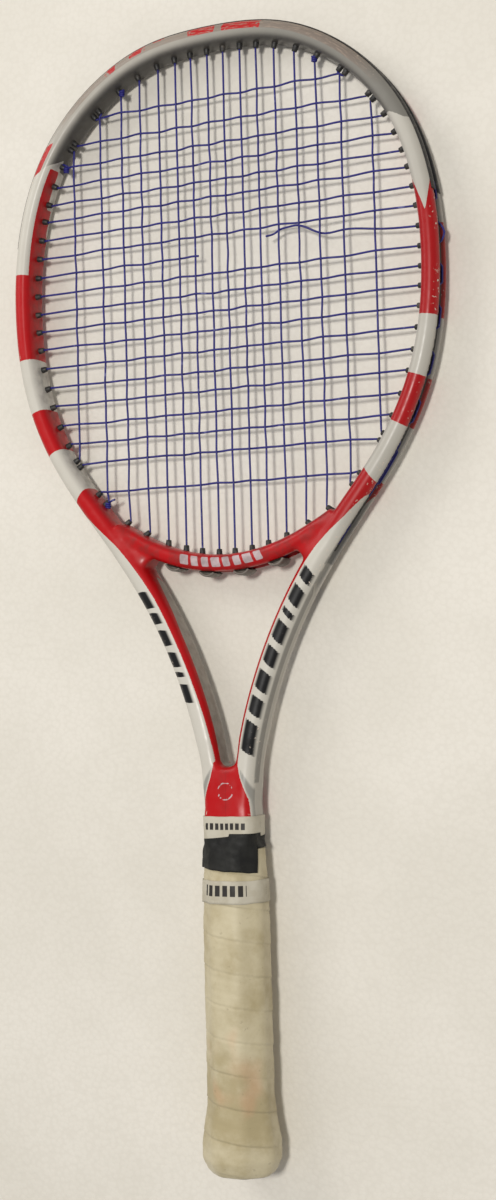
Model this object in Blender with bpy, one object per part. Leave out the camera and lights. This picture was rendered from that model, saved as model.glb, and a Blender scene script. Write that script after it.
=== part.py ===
"""Tennis racket, lying flat: X across the face, Y from butt to tip, Z out of the strings.

The origin is the middle of the butt end. Dimensions are in millimetres and are
turned into metres as each mesh is made. Every piece is one closed solid.
"""
import math

import bmesh
import bpy
import numpy as np
from mathutils import Vector

MM = 0.001

# ---- Driving dimensions -------------------------------------------------------------

CLEARANCE = 0.3                 # gap kept between touching pieces
HOOP_HALF_WIDTH = 5.7           # half the hoop's wall, measured in the string plane
HOOP_HALF_HEIGHT = 11.25        # half the beam
SHAFT_HALF_WIDTH = 6.8
SHAFT_HALF_HEIGHT = 11.6
BRIDGE_HALF_WIDTH = 5.3
BRIDGE_HALF_HEIGHT = 10.2
BRIDGE_CENTRE_Y = 359.4
BRIDGE_BOW = 0.0047             # the bridge rises by this times x squared
BRIDGE_REACH = 72.0             # the bridge's ends are buried in the hoop
WEB_CORNER = (59.5, 369.3)      # where a shaft's inner edge would meet the bridge
WEB_DIRECTION = (-0.758, -0.652)
WEB_SPREAD = 0.285              # half the corner's opening for each unit of length
WEB_LENGTH = 12.0               # how far the web fills the corner
GROOVE_DEPTH = 3.1              # string groove round the outside of the hoop
GROOVE_HALF_HEIGHT = 3.5
GROOVE_END_Y = 348.0            # the groove runs out into the shafts below here
STRIP_THICKNESS = 0.9
STRIP_HALF_HEIGHT = GROOVE_HALF_HEIGHT - CLEARANCE

# The frame's centre line, from the tip to where a shaft enters the handle
HALF_OUTLINE = [
    (0.0, 679.2), (44.1, 674.4), (84.2, 653.2), (115.1, 617.0), (130.4, 574.1),
    (134.6, 525.8), (126.3, 466.1), (103.4, 417.9), (71.7, 375.5), (44.6, 334.2),
    (21.5, 281.0), (10.9, 236.0), (8.5, 200.0),
]
STATIONS_PER_SPAN = 3

# Strings: distances of the main strings from the axis, and heights of the crosses
MAIN_OFFSETS = [5.2, 16.4, 27.1, 39.0, 52.2, 65.4, 80.5, 99.8]
CROSS_HEIGHTS = [
    643.6, 628.2, 615.0, 603.5, 592.5, 582.3, 570.7, 559.2, 547.3, 535.5,
    523.9, 512.6, 501.0, 488.8, 476.3, 464.5, 451.6, 439.5, 427.1, 407.8,
]
STRING_RADIUS = 0.65
STRING_SIDES = 5
WEAVE_HEIGHT = 2 * STRING_RADIUS + CLEARANCE + 0.05
CHANNEL_LIFT = 2.3              # height of a string's loop over the groove's floor
LOOP_SHIFT = 1.7                # loops of mains and crosses pass side by side
BRIDGE_MAINS = 4                # mains on each side that end on the bridge
SPLAYED_MAINS = 2               # the next ones, which run out through the shoulder
BROKEN_CROSS = 8                # index of the cross string that has snapped
LOOP_SLACK = 2.2                # how far the snapped cross's outer loop has crept out

# String holes and the grommet barrels in them
HOLE_RADIUS = 2.05
BARREL_RADIUS = 1.5
BORE_RADIUS = 1.05
BARREL_SIDES = 5
BARREL_STAND = 2.5              # how far a barrel stands out of the frame's inner wall
HOLE_SPACING = 4.8              # least distance between neighbouring holes

BUMPER_END_Y = 565.0            # the bumper guard covers the hoop above here
STRIP_GAP = 1.0

# Bumps under the bridge
BUMP_SPACING = 21.5
BUMP_COUNT = 4
BUMP_RADIUS = 6.5
BUMP_HALF_HEIGHT = 6.5
BUMP_SINK = 3.2                 # how deep a bump's axis lies inside the bridge

# Outer surface of the wrapped handle: height, half width, half thickness
HANDLE_SURFACE = [
    (0.0, 20.2, 17.6), (3.0, 22.3, 19.7), (9.0, 23.2, 20.5), (20.0, 23.1, 20.4),
    (29.0, 21.5, 19.3), (40.0, 20.0, 18.3), (52.0, 19.6, 18.1), (140.0, 19.6, 18.1),
    (162.0, 19.2, 17.3), (178.0, 18.6, 16.3), (192.0, 17.9, 15.2),
]
OVERGRIP_THICKNESS = 1.1
BASE_GRIP_THICKNESS = 1.5
CORE_DEPTH = OVERGRIP_THICKNESS + BASE_GRIP_THICKNESS + 2 * CLEARANCE
OVERGRIP_TOP = 190.0
BASE_GRIP_TOP = 186.0
PALLET_BOTTOM = 6.0
PALLET_TOP = 183.7
STUB_HALF_WIDTH = 12.0          # the frame's bar inside the pallet
STUB_HALF_HEIGHT = 9.8
STUB_BOTTOM = 8.0
NECK_TOP = 238.0                # bottom of the notch between the shafts

CAP_TOP = 34.0
CAP_END_WALL = 2.5
CAP_SOCKET = (14.5, 13.0)
DOOR_WIDTH = 16.0
DOOR_HEIGHT = 7.0
DOOR_CENTRE_Z = -7.0
DOOR_PLUG_DEPTH = 3.0

COLOURS = {
    "painted_graphite": ((0.62, 0.60, 0.56, 1), 0.30, 0.15),
    "black_nylon": ((0.03, 0.03, 0.03, 1), 0.50, 0.0),
    "string_blue": ((0.05, 0.05, 0.17, 1), 0.35, 0.0),
    "pallet_foam": ((0.12, 0.12, 0.12, 1), 0.85, 0.0),
    "cap_plastic": ((0.04, 0.04, 0.04, 1), 0.45, 0.0),
    "door_plastic": ((0.45, 0.05, 0.05, 1), 0.45, 0.0),
    "base_grip": ((0.06, 0.06, 0.06, 1), 0.75, 0.0),
    "overgrip": ((0.55, 0.50, 0.36, 1), 0.80, 0.0),
    "white_tape": ((0.66, 0.64, 0.58, 1), 0.55, 0.0),
    "black_tape": ((0.02, 0.02, 0.02, 1), 0.55, 0.0),
}


# ---- Mesh helpers -------------------------------------------------------------------

def make_material(name):
    """Principled material with the colour, roughness and metallic value listed above."""
    colour, roughness, metallic = COLOURS[name]
    material = bpy.data.materials.new(name)
    material.use_nodes = True
    shader = material.node_tree.nodes["Principled BSDF"]
    shader.inputs["Base Color"].default_value = colour
    shader.inputs["Roughness"].default_value = roughness
    shader.inputs["Metallic"].default_value = metallic
    return material


def make_object(name, bm, material, smooth=True):
    """Turns a bmesh in millimetres into an object in metres."""
    bmesh.ops.scale(bm, vec=(MM, MM, MM), verts=bm.verts)
    bmesh.ops.recalc_face_normals(bm, faces=bm.faces)
    mesh = bpy.data.meshes.new(name)
    bm.to_mesh(mesh)
    bm.free()
    if smooth:
        mesh.shade_smooth()
        mesh.set_sharp_from_angle(angle=math.radians(40))
    piece = bpy.data.objects.new(name, mesh)
    bpy.context.scene.collection.objects.link(piece)
    if material:
        mesh.materials.append(make_material(material))
    return piece


def make_helper(name, bm):
    """A cutter or a part of a union, left out of the finished model."""
    helper = make_object(name, bm, None, smooth=False)
    helper.hide_render = True
    helper.display_type = "WIRE"
    return helper


def combine(piece, operation, helper):
    modifier = piece.modifiers.new(operation.lower(), "BOOLEAN")
    modifier.operation = operation
    modifier.solver = "EXACT"
    modifier.object = helper


def add_loft(bm, rings, closed=False):
    """Joins rings of points with faces; a closed loft returns to its first ring."""
    loops = [[bm.verts.new(point) for point in ring] for ring in rings]
    count = len(loops[0])
    pairs = list(zip(loops, loops[1:]))
    if closed:
        pairs.append((loops[-1], loops[0]))
    for lower, upper in pairs:
        for k in range(count):
            following = (k + 1) % count
            bm.faces.new((lower[k], lower[following], upper[following], upper[k]))
    if not closed:
        bm.faces.new(list(reversed(loops[0])))
        bm.faces.new(loops[-1])


def add_tube(bm, points, radius, sides):
    """Round bar through a list of points, mitred where it turns in the XY plane."""
    points = [Vector(point) for point in points]
    rings = []
    for k, point in enumerate(points):
        before = (point - points[k - 1]).normalized() if k else None
        after = (points[k + 1] - point).normalized() if k + 1 < len(points) else None
        along = ((before or after) + (after or before)).normalized()
        side = along.cross(Vector((0, 0, 1))).normalized()
        above = side.cross(along)
        stretch = 1.0
        if before and after:
            half_turn = before.angle(after) / 2
            stretch = 1 / math.cos(half_turn)
        turn_is_flat = before and after and abs((after - before).normalized().z) < 0.5
        side_scale = stretch if turn_is_flat else 1.0
        above_scale = 1.0 if turn_is_flat else stretch
        ring = []
        for n in range(sides):
            angle = 2 * math.pi * n / sides
            across = side * math.cos(angle) * side_scale
            upward = above * math.sin(angle) * above_scale
            ring.append(point + radius * (across + upward))
        rings.append(ring)
    add_loft(bm, rings)


def add_rod(bm, start, end, radius, sides):
    """Straight prism in the string plane."""
    add_tube(bm, [(*start, 0.0), (*end, 0.0)], radius, sides)


# ---- Curves in the string plane -----------------------------------------------------

def smooth_curve(points, per_span):
    """Natural cubic spline through the points, returned as evenly divided spans."""
    points = np.array(points, dtype=float)
    steps = np.linalg.norm(np.diff(points, axis=0), axis=1)
    count = len(points)
    matrix = np.eye(count)
    target = np.zeros((count, 2))
    for k in range(1, count - 1):
        left, right = steps[k - 1], steps[k]
        matrix[k, k - 1:k + 2] = (left, 2 * (left + right), right)
        slope_change = (points[k + 1] - points[k]) / right - (points[k] - points[k - 1]) / left
        target[k] = 6 * slope_change
    bend = np.linalg.solve(matrix, target)
    result = []
    for k, step in enumerate(steps):
        for n in range(per_span):
            b = n / per_span
            a = 1 - b
            straight = a * points[k] + b * points[k + 1]
            curved = ((a ** 3 - a) * bend[k] + (b ** 3 - b) * bend[k + 1]) * step ** 2 / 6
            result.append(straight + curved)
    result.append(points[-1])
    return np.array(result)


class Path:
    """A run of stations in the string plane, with an outward side and a half width."""

    def __init__(self, stations, outward_sign, half_width):
        self.stations = np.array(stations)
        steps = np.diff(self.stations, axis=0)
        self.distances = np.r_[0.0, np.cumsum(np.linalg.norm(steps, axis=1))]
        self.length = self.distances[-1]
        directions = np.gradient(self.stations, self.distances, axis=0)
        directions /= np.linalg.norm(directions, axis=1)[:, None]
        self.outwards = outward_sign * np.c_[-directions[:, 1], directions[:, 0]]
        self.half_width_at = half_width

    def at(self, distance):
        """Centre point, outward direction and half width at a distance along the path."""
        centre = np.array([np.interp(distance, self.distances, c) for c in self.stations.T])
        outward = np.array([np.interp(distance, self.distances, c) for c in self.outwards.T])
        return centre, outward / np.linalg.norm(outward), self.half_width_at(centre)

    def point(self, distance, offset):
        """Point at an outward offset from the groove's floor."""
        centre, outward, half_width = self.at(distance)
        return centre + outward * (half_width - GROOVE_DEPTH + offset)

    def rings(self, distances, section):
        """Cross sections; section(half_width, centre) lists (outward, up) points."""
        result = []
        for distance in distances:
            centre, outward, half_width = self.at(distance)
            ring = []
            for out, up in section(half_width, centre):
                flat = centre + outward * out
                ring.append((flat[0], flat[1], up))
            result.append(ring)
        return result

    def stations_between(self, first, last):
        inner = [d for d in self.distances if first + 1 < d < last - 1]
        return [first] + inner + [last]


def blend(value, low, high):
    """Smooth step from 0 at low to 1 at high."""
    k = min(max((value - low) / (high - low), 0.0), 1.0)
    return k * k * (3 - 2 * k)


def hoop_half_width(centre):
    share = blend(centre[1], 350.0, 430.0)
    return SHAFT_HALF_WIDTH + (HOOP_HALF_WIDTH - SHAFT_HALF_WIDTH) * share


def hoop_path():
    """Whole frame from the left shaft's foot, round the tip, to the right shaft's foot."""
    right = HALF_OUTLINE
    left = [(-x, y) for x, y in reversed(HALF_OUTLINE[1:])]
    return Path(smooth_curve(left + right, STATIONS_PER_SPAN), 1, hoop_half_width)


def bridge_path():
    xs = np.linspace(-BRIDGE_REACH, BRIDGE_REACH, 17)
    stations = np.c_[xs, BRIDGE_CENTRE_Y + BRIDGE_BOW * xs ** 2]
    return Path(stations, -1, lambda centre: BRIDGE_HALF_WIDTH)


# ---- String holes -------------------------------------------------------------------

class Hole:
    """One string hole: mouth inside the head, and its place on a path outside."""

    def __init__(self, path, distance, mouth=None):
        centre, self.outward, half_width = path.at(distance)
        self.path = path
        self.distance = distance
        self.floor = centre + self.outward * (half_width - GROOVE_DEPTH)
        self.mouth = centre - self.outward * (half_width + BARREL_STAND)
        if mouth is not None:
            self.mouth = np.array(mouth)
            self.outward = self.floor - self.mouth
            self.outward /= np.linalg.norm(self.outward)

    def mirrored(self):
        """The same hole on the left of the axis."""
        twin = Hole(self.path, self.path.length - self.distance)
        flip = np.array([-1, 1])
        twin.floor = self.floor * flip
        twin.mouth = self.mouth * flip
        twin.outward = self.outward * flip
        return twin

    def in_bed(self):
        """Where the string leaves the barrel and enters the string bed."""
        return self.mouth - self.outward * 0.8

    def outside(self):
        """Where the string leaves the barrel on the outside, above the strip."""
        return self.floor + self.outward * (CHANNEL_LIFT - 0.6)


def spread(distances):
    """Moves neighbouring holes apart until they keep their least spacing."""
    order = np.argsort(distances)
    values = np.array(distances)[order]
    for _ in range(400):
        for k in range(len(values) - 1):
            lack = HOLE_SPACING - (values[k + 1] - values[k])
            if lack > 0:
                values[k] -= lack / 2
                values[k + 1] += lack / 2
    result = np.empty(len(values))
    result[order] = values
    return result


def over_bridge(x):
    """Mouth of a main string's barrel on the bridge's upper edge."""
    rise = BRIDGE_HALF_WIDTH * math.hypot(1, 2 * BRIDGE_BOW * x) + BARREL_STAND
    return np.array([x, BRIDGE_CENTRE_Y + BRIDGE_BOW * x * x + rise])


def hole_layout(hoop, bridge):
    """Right-hand holes: lists for the mains' tops, mains' bottoms and crosses."""
    middle = hoop.length / 2
    distances = np.linspace(middle, hoop.length - 60, 3000)
    probes = [Hole(hoop, d) for d in distances]
    mouths = np.array([probe.mouth for probe in probes])
    widest = int(np.argmax(mouths[:, 0]))

    def reaching(mask):
        return distances[int(np.argmax(mask))]

    upper = np.arange(len(distances)) <= widest
    tops = [reaching(upper & (mouths[:, 0] >= x)) for x in MAIN_OFFSETS]
    crosses = [reaching(mouths[:, 1] <= y) for y in CROSS_HEIGHTS]
    splayed = MAIN_OFFSETS[BRIDGE_MAINS:BRIDGE_MAINS + SPLAYED_MAINS]
    lowest = MAIN_OFFSETS[BRIDGE_MAINS + SPLAYED_MAINS:]
    lows = [reaching(~upper & (mouths[:, 0] <= x)) for x in lowest]

    shoulder_mouths = [over_bridge(x) for x in splayed]
    centres = np.array([hoop.at(d)[0] for d in distances])
    feet = []
    for mouth in shoulder_mouths:
        feet.append(distances[int(np.argmin(np.linalg.norm(centres - mouth, axis=1)))])

    placed = spread(tops + crosses + lows + feet)
    mains, cross_count = len(MAIN_OFFSETS), len(CROSS_HEIGHTS)
    top_holes = [Hole(hoop, d) for d in placed[:mains]]
    cross_holes = [Hole(hoop, d) for d in placed[mains:mains + cross_count]]
    low_holes = [Hole(hoop, d) for d in placed[mains + cross_count:][:len(lows)]]
    foot_holes = [Hole(hoop, d, m) for d, m in zip(placed[-len(feet):], shoulder_mouths)]

    bridge_holes = []
    for x in MAIN_OFFSETS[:BRIDGE_MAINS]:
        distance = np.interp(x, bridge.stations[:, 0], bridge.distances)
        bridge_holes.append(Hole(bridge, distance, over_bridge(x)))
    return top_holes, bridge_holes + foot_holes + low_holes, cross_holes


# ---- Frame --------------------------------------------------------------------------

def frame_section(half_width, half_height, groove):
    """Rounded beam with a flat-bottomed groove on its outer side."""
    upper = [
        (half_width - groove, GROOVE_HALF_HEIGHT),
        (half_width, GROOVE_HALF_HEIGHT + 0.5),
        (0.91 * half_width, 0.67 * half_height),
        (0.50 * half_width, 0.93 * half_height),
        (-0.10 * half_width, half_height),
        (-0.62 * half_width, 0.90 * half_height),
        (-0.93 * half_width, 0.58 * half_height),
        (-half_width, 0.22 * half_height),
    ]
    lower = [(out, -up) for out, up in reversed(upper)]
    return upper + lower


def hoop_section(half_width, centre):
    share = blend(centre[1], 350.0, 430.0)
    half_height = SHAFT_HALF_HEIGHT + (HOOP_HALF_HEIGHT - SHAFT_HALF_HEIGHT) * share
    depth = GROOVE_DEPTH if centre[1] > GROOVE_END_Y else 0.0
    return frame_section(half_width, half_height, depth)


def bridge_section(half_width, centre):
    return frame_section(half_width, BRIDGE_HALF_HEIGHT, GROOVE_DEPTH)


def neck_ring(y, half_width, half_height):
    """Squarish oval across the handle's axis."""
    ring = []
    for k in range(16):
        angle = math.radians(22.5 * (k + 0.5))
        c, s = math.cos(angle), math.sin(angle)
        reach = (abs(c) ** 4 + abs(s) ** 4) ** -0.25
        ring.append((half_width * reach * c, y, half_height * reach * s))
    return ring


def octagon_ring(y, half_width, half_height, corner=1.2):
    """Eight-sided handle section with each corner taken off."""
    k = math.tan(math.radians(22.5))
    points = []
    for sx, sz in ((1, 1), (-1, 1), (-1, -1), (1, -1)):
        side = (sx * half_width, sz * k * half_height)
        face = (sx * k * half_width, sz * half_height)
        points += [side, face] if sx * sz > 0 else [face, side]
    ring = []
    for k, (x, z) in enumerate(points):
        for other in (points[k - 1], points[(k + 1) % len(points)]):
            length = math.hypot(other[0] - x, other[1] - z)
            share = corner / length
            ring.append((x + (other[0] - x) * share, y, z + (other[1] - z) * share))
    return ring


def neck_size(y):
    """Half width and half height of the frame between the handle and the shafts."""
    heights = [198.0, 209.0, 232.0, NECK_TOP]
    widths = [16.3, 16.6, 15.0, 13.5]
    thicknesses = [12.6, 12.4, 11.4, 10.8]
    return float(np.interp(y, heights, widths)), float(np.interp(y, heights, thicknesses))


def add_web(bm, side):
    """Rounded web that fills the throat's upper corner; side is 1 right or -1 left."""
    forward = np.array(WEB_DIRECTION) * (side, 1)
    across = np.array([-forward[1], forward[0]])
    rings = []
    for distance in (-5.0, 4.0, WEB_LENGTH):
        centre = np.array(WEB_CORNER) * (side, 1) + forward * distance
        half_width = 2.6 + max(distance, 0.0) * WEB_SPREAD
        ring = []
        for k in range(12):
            angle = math.radians(30 * (k + 0.5))
            spot = centre + across * half_width * math.cos(angle) * 1.15
            height = BRIDGE_HALF_HEIGHT * 0.92 * math.sin(angle)
            ring.append((spot[0], spot[1], height))
        rings.append(ring)
    add_loft(bm, rings)


def make_frame(hoop, bridge, holes):
    bm = bmesh.new()
    add_loft(bm, hoop.rings(hoop.distances, hoop_section))
    frame = make_object("racket_frame", bm, "painted_graphite")

    bm = bmesh.new()
    add_loft(bm, bridge.rings(bridge.distances, bridge_section))
    combine(frame, "UNION", make_helper("bridge_shape", bm))

    for side in (-1, 1):
        bm = bmesh.new()
        add_web(bm, side)
        combine(frame, "UNION", make_helper("corner_web", bm))

    bm = bmesh.new()
    rings = []
    for y in (STUB_BOTTOM, PALLET_TOP + CLEARANCE):
        rings.append(neck_ring(y, STUB_HALF_WIDTH, STUB_HALF_HEIGHT))
    for y in (PALLET_TOP + 1.0, OVERGRIP_TOP + 0.8):
        rings.append(octagon_ring(y, *surface_size(y, CORE_DEPTH)))
    for y in (198.0, 209.0, 232.0, NECK_TOP):
        rings.append(neck_ring(y, *neck_size(y)))
    add_loft(bm, rings)
    combine(frame, "UNION", make_helper("neck_shape", bm))

    bm = bmesh.new()
    for hole in holes:
        start = hole.floor + hole.outward * 4.5
        end = hole.mouth - hole.outward * 1.0
        add_rod(bm, start, end, HOLE_RADIUS, BARREL_SIDES)
    combine(frame, "DIFFERENCE", make_helper("string_holes", bm))
    return frame


# ---- Grommet strips -----------------------------------------------------------------

def strip_section(half_width, centre):
    inner = half_width - GROOVE_DEPTH + CLEARANCE
    outer = inner + STRIP_THICKNESS
    return [
        (inner, STRIP_HALF_HEIGHT), (outer, STRIP_HALF_HEIGHT),
        (outer, -STRIP_HALF_HEIGHT), (inner, -STRIP_HALF_HEIGHT),
    ]


def bumper_section(half_width, centre):
    """Strip in the groove with a lip each side that lies over the frame's edge."""
    inner = half_width - GROOVE_DEPTH + CLEARANCE
    channel = inner + STRIP_THICKNESS
    upper = [
        (inner, STRIP_HALF_HEIGHT), (half_width, 3.65), (half_width + 0.3, 3.8),
        (half_width - 0.2, 7.6), (half_width + 0.4, 7.7), (half_width + 1.0, 4.2),
        (half_width + 0.5, 2.8), (channel, 2.65),
    ]
    lower = [(out, -up) for out, up in reversed(upper)]
    return upper + lower


def add_barrels(piece, holes):
    """Adds a barrel for each hole, then bores the string's way through all of them."""
    barrels = bmesh.new()
    bores = bmesh.new()
    for hole in holes:
        root = hole.floor + hole.outward * (CLEARANCE + 0.5 * STRIP_THICKNESS)
        add_rod(barrels, root, hole.mouth, BARREL_RADIUS, BARREL_SIDES)
        start = hole.floor + hole.outward * 3.0
        end = hole.mouth - hole.outward * 1.0
        add_rod(bores, start, end, BORE_RADIUS, BARREL_SIDES)
    combine(piece, "UNION", make_helper(piece.name + "_barrels", barrels))
    combine(piece, "DIFFERENCE", make_helper(piece.name + "_bores", bores))


def make_strip(name, path, first, last, section, holes):
    bm = bmesh.new()
    add_loft(bm, path.rings(path.stations_between(first, last), section))
    strip = make_object(name, bm, "black_nylon")
    add_barrels(strip, [hole for hole in holes if first < hole.distance < last])
    return strip


def make_bumps(strip, bridge):
    """Half-round bumps that stand under the bridge, each on a rib beside the strings."""
    bm = bmesh.new()
    half_angle = math.acos((BRIDGE_HALF_WIDTH + 0.6 - (BRIDGE_HALF_WIDTH - BUMP_SINK)) / BUMP_RADIUS)
    for k in range(BUMP_COUNT):
        x = (k - (BUMP_COUNT - 1) / 2) * BUMP_SPACING
        distance = np.interp(x, bridge.stations[:, 0], bridge.distances)
        centre, outward, half_width = bridge.at(distance)
        along = np.array([-outward[1], outward[0]])
        axis = centre + outward * (half_width - BUMP_SINK)
        profile = []
        for n in range(9):
            angle = half_angle * (n / 4 - 1)
            arm = outward * math.cos(angle) + along * math.sin(angle)
            profile.append(axis + arm * BUMP_RADIUS)
        rings = []
        for up in (-BUMP_HALF_HEIGHT, BUMP_HALF_HEIGHT):
            rings.append([(x, y, up) for x, y in profile])
        add_loft(bm, rings)
    combine(strip, "UNION", make_helper("bump_shapes", bm))

    bm = bmesh.new()
    for k in range(BUMP_COUNT):
        x = (k - (BUMP_COUNT - 1) / 2) * BUMP_SPACING
        distance = np.interp(x, bridge.stations[:, 0], bridge.distances)
        rings = []
        for shift in (-3.0, 3.0):
            low = bridge.point(distance + shift, CLEARANCE + 0.5 * STRIP_THICKNESS)
            high = bridge.point(distance + shift, GROOVE_DEPTH + 1.6)
            rings.append([(*low, -3.0), (*high, -3.0), (*high, 0.6), (*low, 0.6)])
        add_loft(bm, rings)
    combine(strip, "UNION", make_helper("bump_ribs", bm))


# ---- Strings ------------------------------------------------------------------------

def loop_points(first, second, side, slack=0.0):
    """String's way along the groove from one hole to the next."""
    path = first.path
    direction = 1 if second.distance > first.distance else -1
    start = first.distance + 1.2 * direction
    end = second.distance - 1.2 * direction
    pieces = max(1, math.ceil(abs(end - start) / 8))
    points = [(*first.outside(), 0.0)]
    for n in range(pieces + 1):
        distance = start + (end - start) * n / pieces
        lift = CHANNEL_LIFT + slack * math.sin(math.pi * n / pieces)
        points.append((*path.point(distance, lift), side * LOOP_SHIFT))
    points.append((*second.outside(), 0.0))
    return points


def make_main_string(tops, bottoms):
    """One length that runs down and up through every main hole, left to right."""
    columns = [(-x, t.mirrored(), b.mirrored()) for x, t, b in zip(MAIN_OFFSETS, tops, bottoms)]
    columns.reverse()
    columns += list(zip(MAIN_OFFSETS, tops, bottoms))
    points = []
    previous = None
    for k, (x, top, bottom) in enumerate(columns):
        entry, leave = (top, bottom) if k % 2 == 0 else (bottom, top)
        if previous:
            points += loop_points(previous, entry, 1)
        else:
            points.append((*entry.outside(), 0.0))
        ends = [entry.in_bed(), leave.in_bed()]
        crossed = [y for y in CROSS_HEIGHTS if bottom.mouth[1] + 2 < y < top.mouth[1] - 2]
        reach = [crossed[0] if end[1] > 500 else crossed[-1] for end in ends]
        points.append((*ends[0], 0.0))
        points += [(x, y, 0.0) for y in reach]
        points.append((*ends[1], 0.0))
        previous = leave
    points.append((*previous.outside(), 0.0))
    bm = bmesh.new()
    add_tube(bm, points, STRING_RADIUS, STRING_SIDES)
    return make_object("main_string", bm, "string_blue")


def crossing_points(index, hole, tops, bottoms):
    """Points over and under the mains that a cross string meets, from left to right."""
    y = CROSS_HEIGHTS[index]
    offsets = []
    for x, top, bottom in zip(MAIN_OFFSETS, tops, bottoms):
        inside = bottom.mouth[1] + 2 < y < top.mouth[1] - 2
        if inside and x < hole.mouth[0] - 2:
            offsets.append(x)
    xs = [-x for x in reversed(offsets)] + offsets
    points = []
    for x in xs:
        column = len(MAIN_OFFSETS) + (MAIN_OFFSETS.index(x) if x > 0 else -1 - MAIN_OFFSETS.index(-x))
        height = WEAVE_HEIGHT if (column + index) % 2 == 0 else -WEAVE_HEIGHT
        points.append((x, y, height))
    return points


def make_cross_strings(tops, bottoms, crosses):
    """Upper and lower lengths of the cross string, parted where one cross has snapped."""
    upper = []
    lower = []
    for index, hole in enumerate(crosses):
        across = [(*hole.mirrored().in_bed(), 0.0)]
        across += crossing_points(index, hole, tops, bottoms)
        across.append((*hole.in_bed(), 0.0))
        if index % 2:
            across.reverse()
        end_hole = hole if index % 2 == 0 else hole.mirrored()
        start_hole = hole.mirrored() if index % 2 == 0 else hole
        if index < BROKEN_CROSS:
            target = upper
        else:
            target = lower
        if index == BROKEN_CROSS:
            stub = [point for point in across if point[0] < -MAIN_OFFSETS[1] + 1]
            last = stub[-1]
            upper += stub + [(last[0] + 2.6, last[1] - 0.2, last[2] * 0.7)]
            target += loose_end(across)
        else:
            target += across if target else [(*start_hole.outside(), 0.0)] + across
        if index + 1 < len(crosses):
            following = crosses[index + 1]
            if index % 2:
                following = following.mirrored()
            slack = LOOP_SLACK if index == BROKEN_CROSS else 0.0
            target += loop_points(end_hole, following, -1, slack)
        else:
            target.append((*end_hole.outside(), 0.0))
    pieces = []
    for name, points in (("cross_string_upper", upper), ("cross_string_lower", lower)):
        bm = bmesh.new()
        add_tube(bm, points, STRING_RADIUS, STRING_SIDES)
        pieces.append(make_object(name, bm, "string_blue"))
    return pieces


def loose_end(across):
    """Right-hand part of the snapped cross: slack, still woven, its tip curled down."""
    kept = [point for point in across if point[0] > MAIN_OFFSETS[3] - 1]
    rises = [9.2, 9.7, 4.2, 3.3, 1.5]
    slack = []
    for n, (x, y, z) in enumerate(kept):
        rise = rises[n] if n < len(rises) and x < 115 else 0.0
        slack.append((x, y + rise, z))
    tip_x, tip_y, tip_z = slack[0]
    between = ((slack[0][0] + slack[1][0]) / 2 - 1, slack[1][1] + 0.1, 0.0)
    tip = [(tip_x - 7.6, tip_y - 3.4, 1.5), (tip_x - 3.6, tip_y - 1.6, 0.8 * tip_z)]
    return tip + [slack[0], between] + slack[1:]


# ---- Handle -------------------------------------------------------------------------

def surface_size(y, depth):
    """Half width and half thickness of the handle at a depth under its surface."""
    heights, widths, thicknesses = zip(*HANDLE_SURFACE)
    half_width = float(np.interp(y, heights, widths)) - depth
    half_height = float(np.interp(y, heights, thicknesses)) - depth
    return half_width, half_height


def surface_heights(first, last):
    inner = [y for y, _, _ in HANDLE_SURFACE if first + 1 < y < last - 1]
    return [first] + inner + [last]


def handle_rings(first, last, depth):
    return [octagon_ring(y, *surface_size(y, depth)) for y in surface_heights(first, last)]


def make_shell(name, outer, inner, material):
    """Sleeve round the Y axis between an outer and an inner run of rings."""
    bm = bmesh.new()
    add_loft(bm, outer + list(reversed(inner)), closed=True)
    return make_object(name, bm, material)


def make_layer(name, first, last, depth, thickness, material):
    outer = handle_rings(first, last, depth)
    inner = handle_rings(first, last, depth + thickness)
    return make_shell(name, outer, inner, material)


def make_pallet():
    """Foam handle shape moulded round the frame's bar, stepped down inside the cap."""
    width, height = CAP_SOCKET
    slim = (width - CLEARANCE, height - CLEARANCE)
    outer = [octagon_ring(PALLET_BOTTOM, *slim), octagon_ring(CAP_TOP + 0.2, *slim)]
    outer += handle_rings(CAP_TOP + CLEARANCE, PALLET_TOP, CORE_DEPTH)
    bore = (STUB_HALF_WIDTH + CLEARANCE, STUB_HALF_HEIGHT + CLEARANCE)
    inner = [neck_ring(PALLET_BOTTOM, *bore), neck_ring(PALLET_TOP, *bore)]
    return make_shell("handle_pallet", outer, inner, "pallet_foam")


def box(bm, low, high):
    rings = []
    for y in (low[1], high[1]):
        rings.append([(low[0], y, low[2]), (high[0], y, low[2]),
                      (high[0], y, high[2]), (low[0], y, high[2])])
    add_loft(bm, rings)


def make_butt_cap():
    bm = bmesh.new()
    add_loft(bm, handle_rings(0.0, CAP_TOP, CORE_DEPTH))
    cap = make_object("butt_cap", bm, "cap_plastic")

    bm = bmesh.new()
    add_loft(bm, [octagon_ring(y, *CAP_SOCKET) for y in (CAP_END_WALL, CAP_TOP + 5)])
    combine(cap, "DIFFERENCE", make_helper("cap_socket", bm))

    bm = bmesh.new()
    half_w, half_h = DOOR_WIDTH / 2, DOOR_HEIGHT / 2
    box(bm, (-half_w, -3, DOOR_CENTRE_Z - half_h), (half_w, CAP_END_WALL + 1, DOOR_CENTRE_Z + half_h))
    combine(cap, "DIFFERENCE", make_helper("door_opening", bm))
    return cap


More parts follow.
